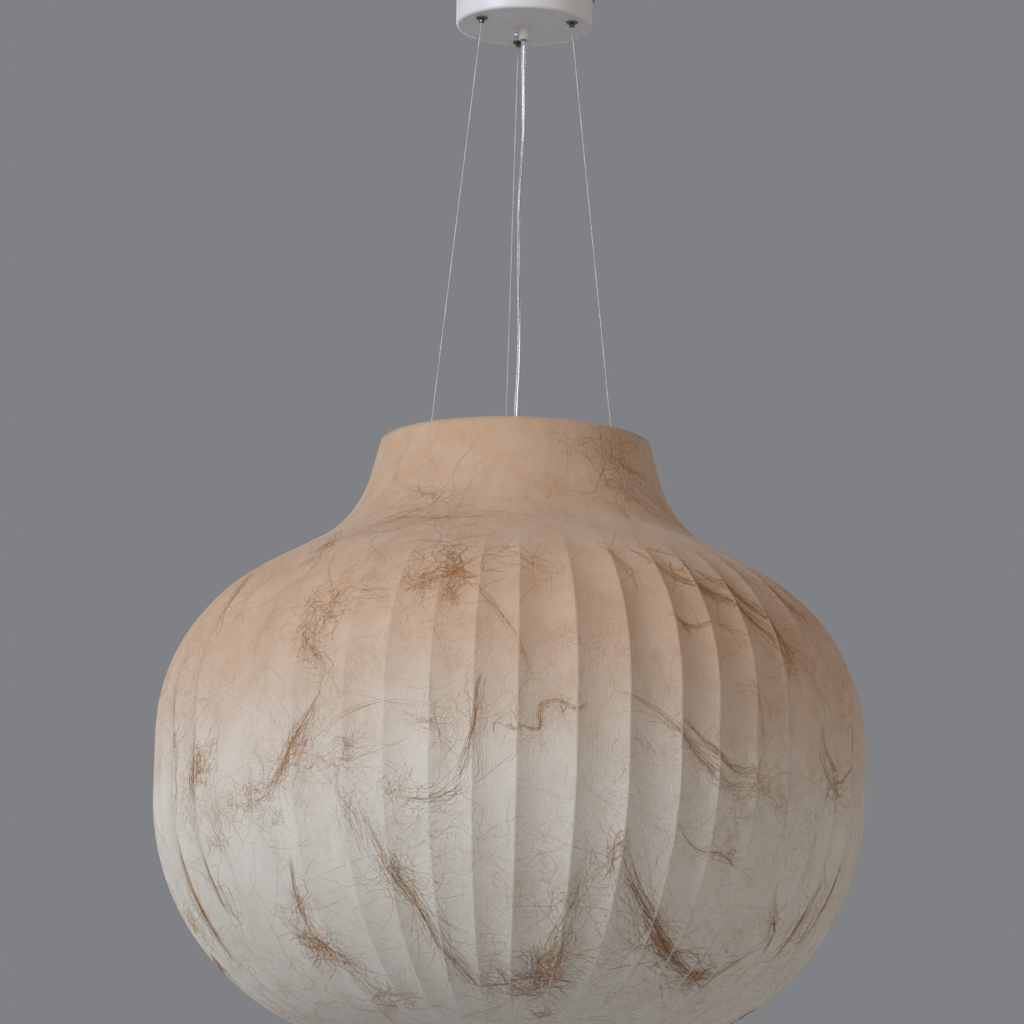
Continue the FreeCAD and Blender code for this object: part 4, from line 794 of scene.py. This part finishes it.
# %% Long bundle down the lower left
lay("lower left bundle",
    strand([(-31, 425), (-28, 462), (-25, 492), (-21, 528), (-18, 575), (-11, 613)], 26, 5, 0.7),
    strand([(-30, 440), (-27, 470), (-24, 505), (-20, 540)], 18, 9, 1, 0.1),
    tangle(-24, 495, 22, 24),
    strand([(-18, 575), (-12, 600), (-8, 616), (-2, 622)], 10, 6, 0.8))

# %% Squiggles right of the middle
lay("squiggles",
    strand([(-6, 368), (-3, 374), (-1, 374), (-2, 358), (0, 351), (2, 350), (4, 360), (6, 351)],
           13, 3, 0.9, 0.11, 0.3),
    strand([(-9, 371), (-5, 372), (-3, 378)], 6, 3),
    strand([(-1, 374), (-2, 385), (0, 394)], 3, 2),
    strand([(2, 350), (3, 358), (1, 362)], 5, 2),
    strand([(20, 267), (23, 275), (26, 276), (29, 268)], 8, 2.4, 0.7, 0.12, 0.3),
    strand([(22, 272), (24, 281), (23, 288)], 7, 4, 1),
    strand([(29, 268), (34, 276), (36, 281)], 4, 3, 0.7))

# %% Loops on the right
lay("right loops",
    strand([(10, 340), (16, 347), (22, 375), (28, 402), (32, 411), (38, 402)], 16, 4, 0.7),
    strand([(20, 352), (25, 372), (31, 394), (35, 396), (38, 376)], 14, 4, 0.7),
    strand([(22, 382), (27, 408), (33, 416), (38, 408)], 8, 5, 1),
    strand([(33, 310), (37, 335), (37, 366), (41, 392)], 7, 4, 0.8),
    tangle(38, 402, 22, 22),
    strand([(40, 398), (42, 420), (44, 440)], 6, 6, 1),
    strand([(13, 372), (18, 392), (17, 410)], 6, 6, 1.2, 0.09))

# %% Far right
lay("far right",
    strand([(66, 300), (67, 330), (67, 362), (62, 386)], 12, 3, 0.6, 0.09),
    strand([(52, 340), (55, 372), (60, 392), (65, 372), (67, 350)], 12, 5, 0.8),
    strand([(50, 352), (54, 384), (60, 402), (64, 386)], 8, 7, 1),
    tangle(57, 392, 26, 26))

# %% Bundle over the right shoulder
lay("right shoulder",
    strand([(16, 180), (22, 215), (28, 226), (36, 246), (43, 280), (47, 318)], 22, 7, 0.8),
    strand([(30, 205), (38, 232), (44, 262), (48, 300), (48, 330)], 22, 6, 0.8),
    strand([(10, 175), (14, 200), (17, 235), (19, 265)], 10, 7, 1, 0.1),
    strand([(42, 170), (50, 205), (56, 240), (60, 275)], 14, 8, 1, 0.1),
    tangle(46, 290, 34, 26),
    tangle(26, 214, 30, 32, radius=0.09))

# %% Lower right
lay("lower right",
    strand([(20, 430), (22, 452), (26, 466), (31, 464), (35, 478), (37, 500)], 9, 3, 0.8),
    tangle(32, 470, 20, 22),
    strand([(9, 430), (13, 470), (17, 505), (22, 540), (29, 566), (41, 590)], 34, 8, 0.8, 0.11),
    strand([(12, 478), (18, 520), (26, 556), (36, 584), (44, 572)], 46, 9, 0.9, 0.12),
    tangle(39, 584, 60, 28, about=0.2),
    strand([(41, 590), (46, 570), (50, 545), (52, 520)], 10, 6, 0.8),
    strand([(46, 480), (50, 515), (53, 553)], 18, 6, 0.8),
    strand([(67, 450), (66, 490), (64, 540)], 26, 6, 0.8),
    strand([(60, 455), (62, 500), (55, 560)], 22, 8, 1, 0.11),
    strand([(8, 455), (7, 490), (5, 540), (3, 580)], 22, 10, 1, 0.1),
    strand([(14, 440), (11, 470), (9, 505)], 12, 6, 1))

# %% Foot of the middle
lay("foot of the middle",
    strand([(-8, 580), (-5, 605), (-1, 618), (4, 621)], 16, 5, 0.9, 0.1),
    strand([(6, 530), (4, 570), (2, 612)], 38, 9, 0.8, 0.1),
    strand([(0, 560), (1, 590), (2, 618)], 24, 8, 0.9, 0.09),
    tangle(2, 598, 70, 34, about=0.25),
    strand([(-2, 636), (3, 650), (8, 648), (10, 636)], 8, 5, 1))

# %% Lower left
lay("lower left",
    strand([(-44, 470), (-45, 510), (-46, 545), (-44, 562)], 20, 7, 0.9),
    tangle(-45, 560, 56, 28, about=0.2),
    strand([(-52, 520), (-48, 548), (-42, 566), (-36, 590)], 14, 9, 1),
    strand([(-75, 440), (-76, 480), (-77, 530), (-79, 580)], 24, 6, 0.8),
    strand([(-68, 440), (-66, 490), (-62, 540)], 12, 7, 1),
    tangle(-60, 455, 20, 22),
    tangle(-35, 622, 26, 26))

# %% Far left
lay("far left",
    tangle(-64, 390, 56, 26),
    tangle(-67, 402, 36, 34, radius=0.09),
    strand([(-78, 300), (-74, 345), (-72, 395), (-74, 440)], 14, 7, 0.8, 0.1),
    strand([(-63, 365), (-63, 385), (-66, 410)], 12, 8, 1.2))

# %% Neck and shoulders
lay("neck and shoulders",
    strand([(-50, 62), (-40, 74), (-28, 84), (-18, 76)], 10, 9, 1.2, 0.09),
    tangle(-34, 90, 34, 50, radius=0.075, about=0.5),
    strand([(-44, 110), (-32, 118), (-20, 128), (-8, 120)], 12, 10, 1.2, 0.09),
    strand([(-60, 120), (-52, 160), (-46, 200), (-50, 240)], 14, 9, 1, 0.09),
    strand([(-72, 190), (-66, 235), (-64, 280)], 20, 9, 1, 0.1),
    tangle(32, 44, 44, 50, radius=0.075, about=0.55),
    strand([(20, 24), (32, 30), (44, 38), (58, 42)], 14, 9, 1.4, 0.08),
    strand([(24, 52), (40, 66), (54, 90)], 12, 10, 1.2, 0.08),
    strand([(-10, 190), (-4, 215), (4, 235)], 8, 12, 1, 0.09))

# %% Strands round the back, and fine fibres everywhere
BACK_STRANDS = 34
FINE_FIBRES = 1250
for _ in range(BACK_STRANDS):
    turn, at = chance.uniform(84, 280), chance.uniform(150, 610)
    lean = chance.uniform(-16, 16)
    long = chance.uniform(40, 120)
    bow = chance.uniform(-7, 7)
    strands += strand([(turn, at), (turn + lean * 0.5 + bow, at + long / 2),
                       (turn + lean, at + long)], int(chance.integers(6, 22)),
                      chance.uniform(4, 9), 0.9, 0.15)
    if chance.random() < 0.5:
        strands += tangle(turn, at, int(chance.integers(16, 40)), chance.uniform(18, 34))
# The root puts more of the fine fibres lower down, where the shade is wider.
fine = []
for _ in range(FINE_FIBRES):
    at = 12 + 655 * math.sqrt(chance.random())
    fine += tangle(chance.uniform(0, 360), min(at, 672), 1, chance.uniform(25, 60), 1.4, 0.075)
strand_tones = chance.choice(list(bast), len(strands), p=(0.16, 0.48, 0.36))
fibre_pieces = [made_of(f"plant_fibres_{tone}",
                        [part for part, its in zip(strands, strand_tones) if its == tone],
                        bast[tone]) for tone in bast]
fibre_pieces.append(made_of("fine_fibres", fine, bast["straw"]))
print(len(strands), "fibres in strands and", len(fine), "fine,",
      sum(len(piece.data.polygons) for piece in fibre_pieces), "faces")

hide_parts("paper_shade")
for piece in (paper_skin_piece, *fibre_pieces):
    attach(piece, "shade")

# %% [markdown]
# The hard parts keep their CAD shapes. Each finish below starts from how its surface was made:
# sprayed, plated, drawn, moulded, fired or blown. They differ less in colour than in how they
# scatter light, so each has its own roughness and its own fine relief at a real scale.

# %% Finishes of the hard parts
# Powder melts into an orange peel about 1.5 mm from crest to crest.
powder_coat = worked("powder_coat_satin_white", ("#ECEDF3", "#F1F2F7"), (0.36, 0.48),
                     patch=20 * MM, mark=1.5 * MM, depth=0.03 * MM, IOR=1.5)
# Bright zinc shows the rolling marks of the strip under it.
zinc_plate = worked("zinc_plated_bright", ("#AEB2B6", "#CDCFCF"), (0.28, 0.4), 1,
                    mark=0.4 * MM, depth=0.01 * MM, stretch=(0.12, 1, 1))
# A lathe leaves rings about 0.3 mm apart, which the plating softens. The dark warm grey is
# painted reflection of the dim room, far darker than the plating's own colour.
nickel_painted_dark = worked("nickel_plated_turned_painted_dark", ("#75736F", "#86837E"), (0.1, 0.2), 1, patch=2 * MM,
                mark=0.3 * MM, depth=0.012 * MM, stretch=(0.16, 0.16, 1))
# Drawn and heated: darker and duller than the plated parts.
spring_steel = worked("spring_steel_drawn", ("#85868A", "#93949A"), (0.32, 0.42), 1,
                      patch=1 * MM, mark=0.15 * MM, depth=0.01 * MM)
# Moulded nylon is milky, since light goes a little way in.
white_nylon = worked("nylon_moulded_white", ("#ECEBE6", "#E5E3DD"), (0.42, 0.5), mark=0.6 * MM,
                     IOR=1.53, Subsurface_Weight=0.15, Subsurface_Scale=0.002)
clear_nylon = worked("nylon_moulded_clear", ("#E4E8F0", "#DEE3EC"), (0.15, 0.24), depth=0.03 * MM,
                     IOR=1.53, Transmission_Weight=0.7)
# Bare turned brass: yellow, with tarnish starting in patches.
brass = worked("brass_turned", ("#BC9448", "#D8B873"), (0.26, 0.36), 1, patch=3 * MM,
               mark=0.3 * MM, depth=0.012 * MM, stretch=(0.2, 0.2, 1))
# Enamel dipped on wire runs a little thick and thin.
white_wire = worked("enamelled_wire_white", ("#EAE7E1", "#D9D4CA"), (0.36, 0.46), patch=8 * MM,
                    depth=0.03 * MM, IOR=1.5)
# Pressed thermoset is hard and even, with the die's fine polish.
white_resin = worked("thermoset_moulded_white", ("#EFEEEB", "#E9E8E4"), (0.3, 0.4),
                     patch=10 * MM, mark=0.8 * MM, depth=0.015 * MM, IOR=1.55)
# Fired steatite is a matt, slightly speckled ceramic.
steatite = worked("steatite_fired", ("#E8E3D9", "#CFC7B8"), (0.5, 0.62), patch=0.7 * MM,
                  mark=0.5 * MM, depth=0.03 * MM, IOR=1.6)
# Opal glass is flashed white inside and fire-polished, with slow waves from blowing.
opal_glass = worked("opal_glass_blown", ("#F5F3EF", "#ECE9E2"), (0.12, 0.2), patch=20 * MM,
                    mark=30 * MM, depth=0.1 * MM, IOR=1.5, Subsurface_Weight=0.3,
                    Subsurface_Scale=0.01)
# The bulb's cap is pressed from soft aluminium, brushed by its tooling.
cap_metal = worked("aluminium_pressed", ("#BEBFC2", "#CBCCCD"), (0.28, 0.4), 1, patch=4 * MM,
                   mark=0.4 * MM, stretch=(0.2, 0.2, 1))
# Vitrite is black glass, poured hot, so its face is glossy.
black_glass = worked("vitrite_glass_black", ("#15151A", "#1B1B20"), (0.1, 0.16), mark=2 * MM,
                     depth=0.03 * MM, IOR=1.52)

FINISHES = {
    "powder_coated_steel": powder_coat, "zinc_plated_steel": zinc_plate,
    "nickel_plate": nickel_painted_dark, "spring_steel": spring_steel, "steel_rope": steel_rope,
    "white_nylon": white_nylon, "clear_nylon": clear_nylon, "clear_flex": clear_pvc,
    "core_insulation": core_pvc, "brass": brass, "dyed_paper": paper_finish,
    "white_wire": white_wire, "white_resin": white_resin, "steatite": steatite,
    "opal_glass": opal_glass, "bulb_metal": cap_metal, "black_glass": black_glass}
for subpart in frame["record"]["subparts"]:
    node = frame["nodes"][subpart["node"]]
    node.data.materials.clear()
    node.data.materials.append(FINISHES[subpart["material_slot"]])

# %% [markdown]
# A small coil spring in each gripper presses three balls onto the wire. Pushing the release tip
# up shortens it, which a rigid node can't show. So each spring is coiled again here, as a mesh of
# its own.

# %% Gripper springs
SPRING_WIRE = 0.25 * MM
SPRING_PITCH = 1.9 * MM
STEPS_PER_TURN = 36
WIRE_SIDES = 8


def coil_spring(side):
    """Round wire coiled in the box of the gripper's spring, carried by the canopy."""
    low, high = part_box(f"gripper_spring_{side}")
    rise = high.z - low.z - 2 * SPRING_WIRE
    radius = (high.x - low.x) / 2 - SPRING_WIRE
    coils = rise / SPRING_PITCH
    angle = np.linspace(0, 2 * math.pi * coils, int(STEPS_PER_TURN * coils))[:, None]
    outward = np.hstack([np.cos(angle), np.sin(angle), np.zeros_like(angle)])
    climb = SPRING_PITCH / (2 * math.pi)
    ahead = np.hstack([-np.sin(angle) * radius, np.cos(angle) * radius,
                       np.full_like(angle, climb)])
    upward = np.cross(outward, ahead / np.linalg.norm(ahead, axis=1)[:, None])
    middle = (low + high) / 2
    line = (np.array([middle.x, middle.y, low.z + SPRING_WIRE]) + outward * radius
            + np.hstack([angle * 0, angle * 0, angle * climb]))
    corner = np.linspace(0, 2 * math.pi, WIRE_SIDES, endpoint=False)
    rings = line[:, None] + SPRING_WIRE * (np.cos(corner)[None, :, None] * outward[:, None]
                                           + np.sin(corner)[None, :, None] * upward[:, None])
    spring = made_of(f"coil_spring_{side}", [closed_tube(rings)], spring_steel)
    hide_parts(f"gripper_spring_{side}")
    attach(spring, "canopy")
    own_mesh(spring)
    return coils


for side in ("left", "right", "back"):
    print("spring", side, round(coil_spring(side), 1), "turns")

# %% [markdown]
# The light is a plain soft studio: one broad source to the left, a little above and in front; a
# weaker, warm one to the right; one behind that only the back sees; and an even grey room that
# fills the shadows. The pale floor is far below, as under a real ceiling lamp. A small source
# would draw hard lines down the ribs.

# %% Room and light
room = bpy.data.worlds.new("grey_studio")
room.use_nodes = True
room.node_tree.nodes["Background"].inputs["Color"].default_value = linear("#808184")
room.node_tree.nodes["Background"].inputs["Strength"].default_value = 1.0
bpy.context.scene.world = room
bpy.context.scene.view_settings.view_transform = "Standard"


def soft_light(name, place, aim, size, power, colour):
    """A round area light of this width in metres and power in watts."""
    source = bpy.data.lights.new(name, "AREA")
    source.shape = "DISK"
    source.size = size
    source.energy = power
    source.color = linear(colour)[:3]
    lamp = bpy.data.objects.new(name, source)
    lamp.location = place
    lamp.rotation_mode = "QUATERNION"
    lamp.rotation_quaternion = (Vector(aim) - Vector(place)).to_track_quat("-Z", "Y")
    bpy.context.scene.collection.objects.link(lamp)


soft_light("key_left", (-3.6, -2.6, 0.75), (0, 0, -0.6), 2.0, 122, "#FBFBFF")
soft_light("fill_right", (3.1, -3.2, 0.1), (0, 0, -0.7), 1.8, 28, "#FFE2C6")
soft_light("back_fill", (0, 4.4, 0.6), (0, 0, -0.5), 2.4, 45, "#F2F4FA")

FLOOR_LEVEL = -2.6
floor_mesh = bpy.data.meshes.new("floor")
floor_mesh.from_pydata([(-30, -30, FLOOR_LEVEL), (30, -30, FLOOR_LEVEL), (30, 30, FLOOR_LEVEL),
                        (-30, 30, FLOOR_LEVEL)], [], [(0, 1, 2, 3)])
floor = bpy.data.objects.new("floor", floor_mesh)
floor_finish, tree, shader = finish_named("floor_matt_pale", "#CFCECC", 0.8)
floor_mesh.materials.append(floor_finish)
bpy.context.scene.collection.objects.link(floor)
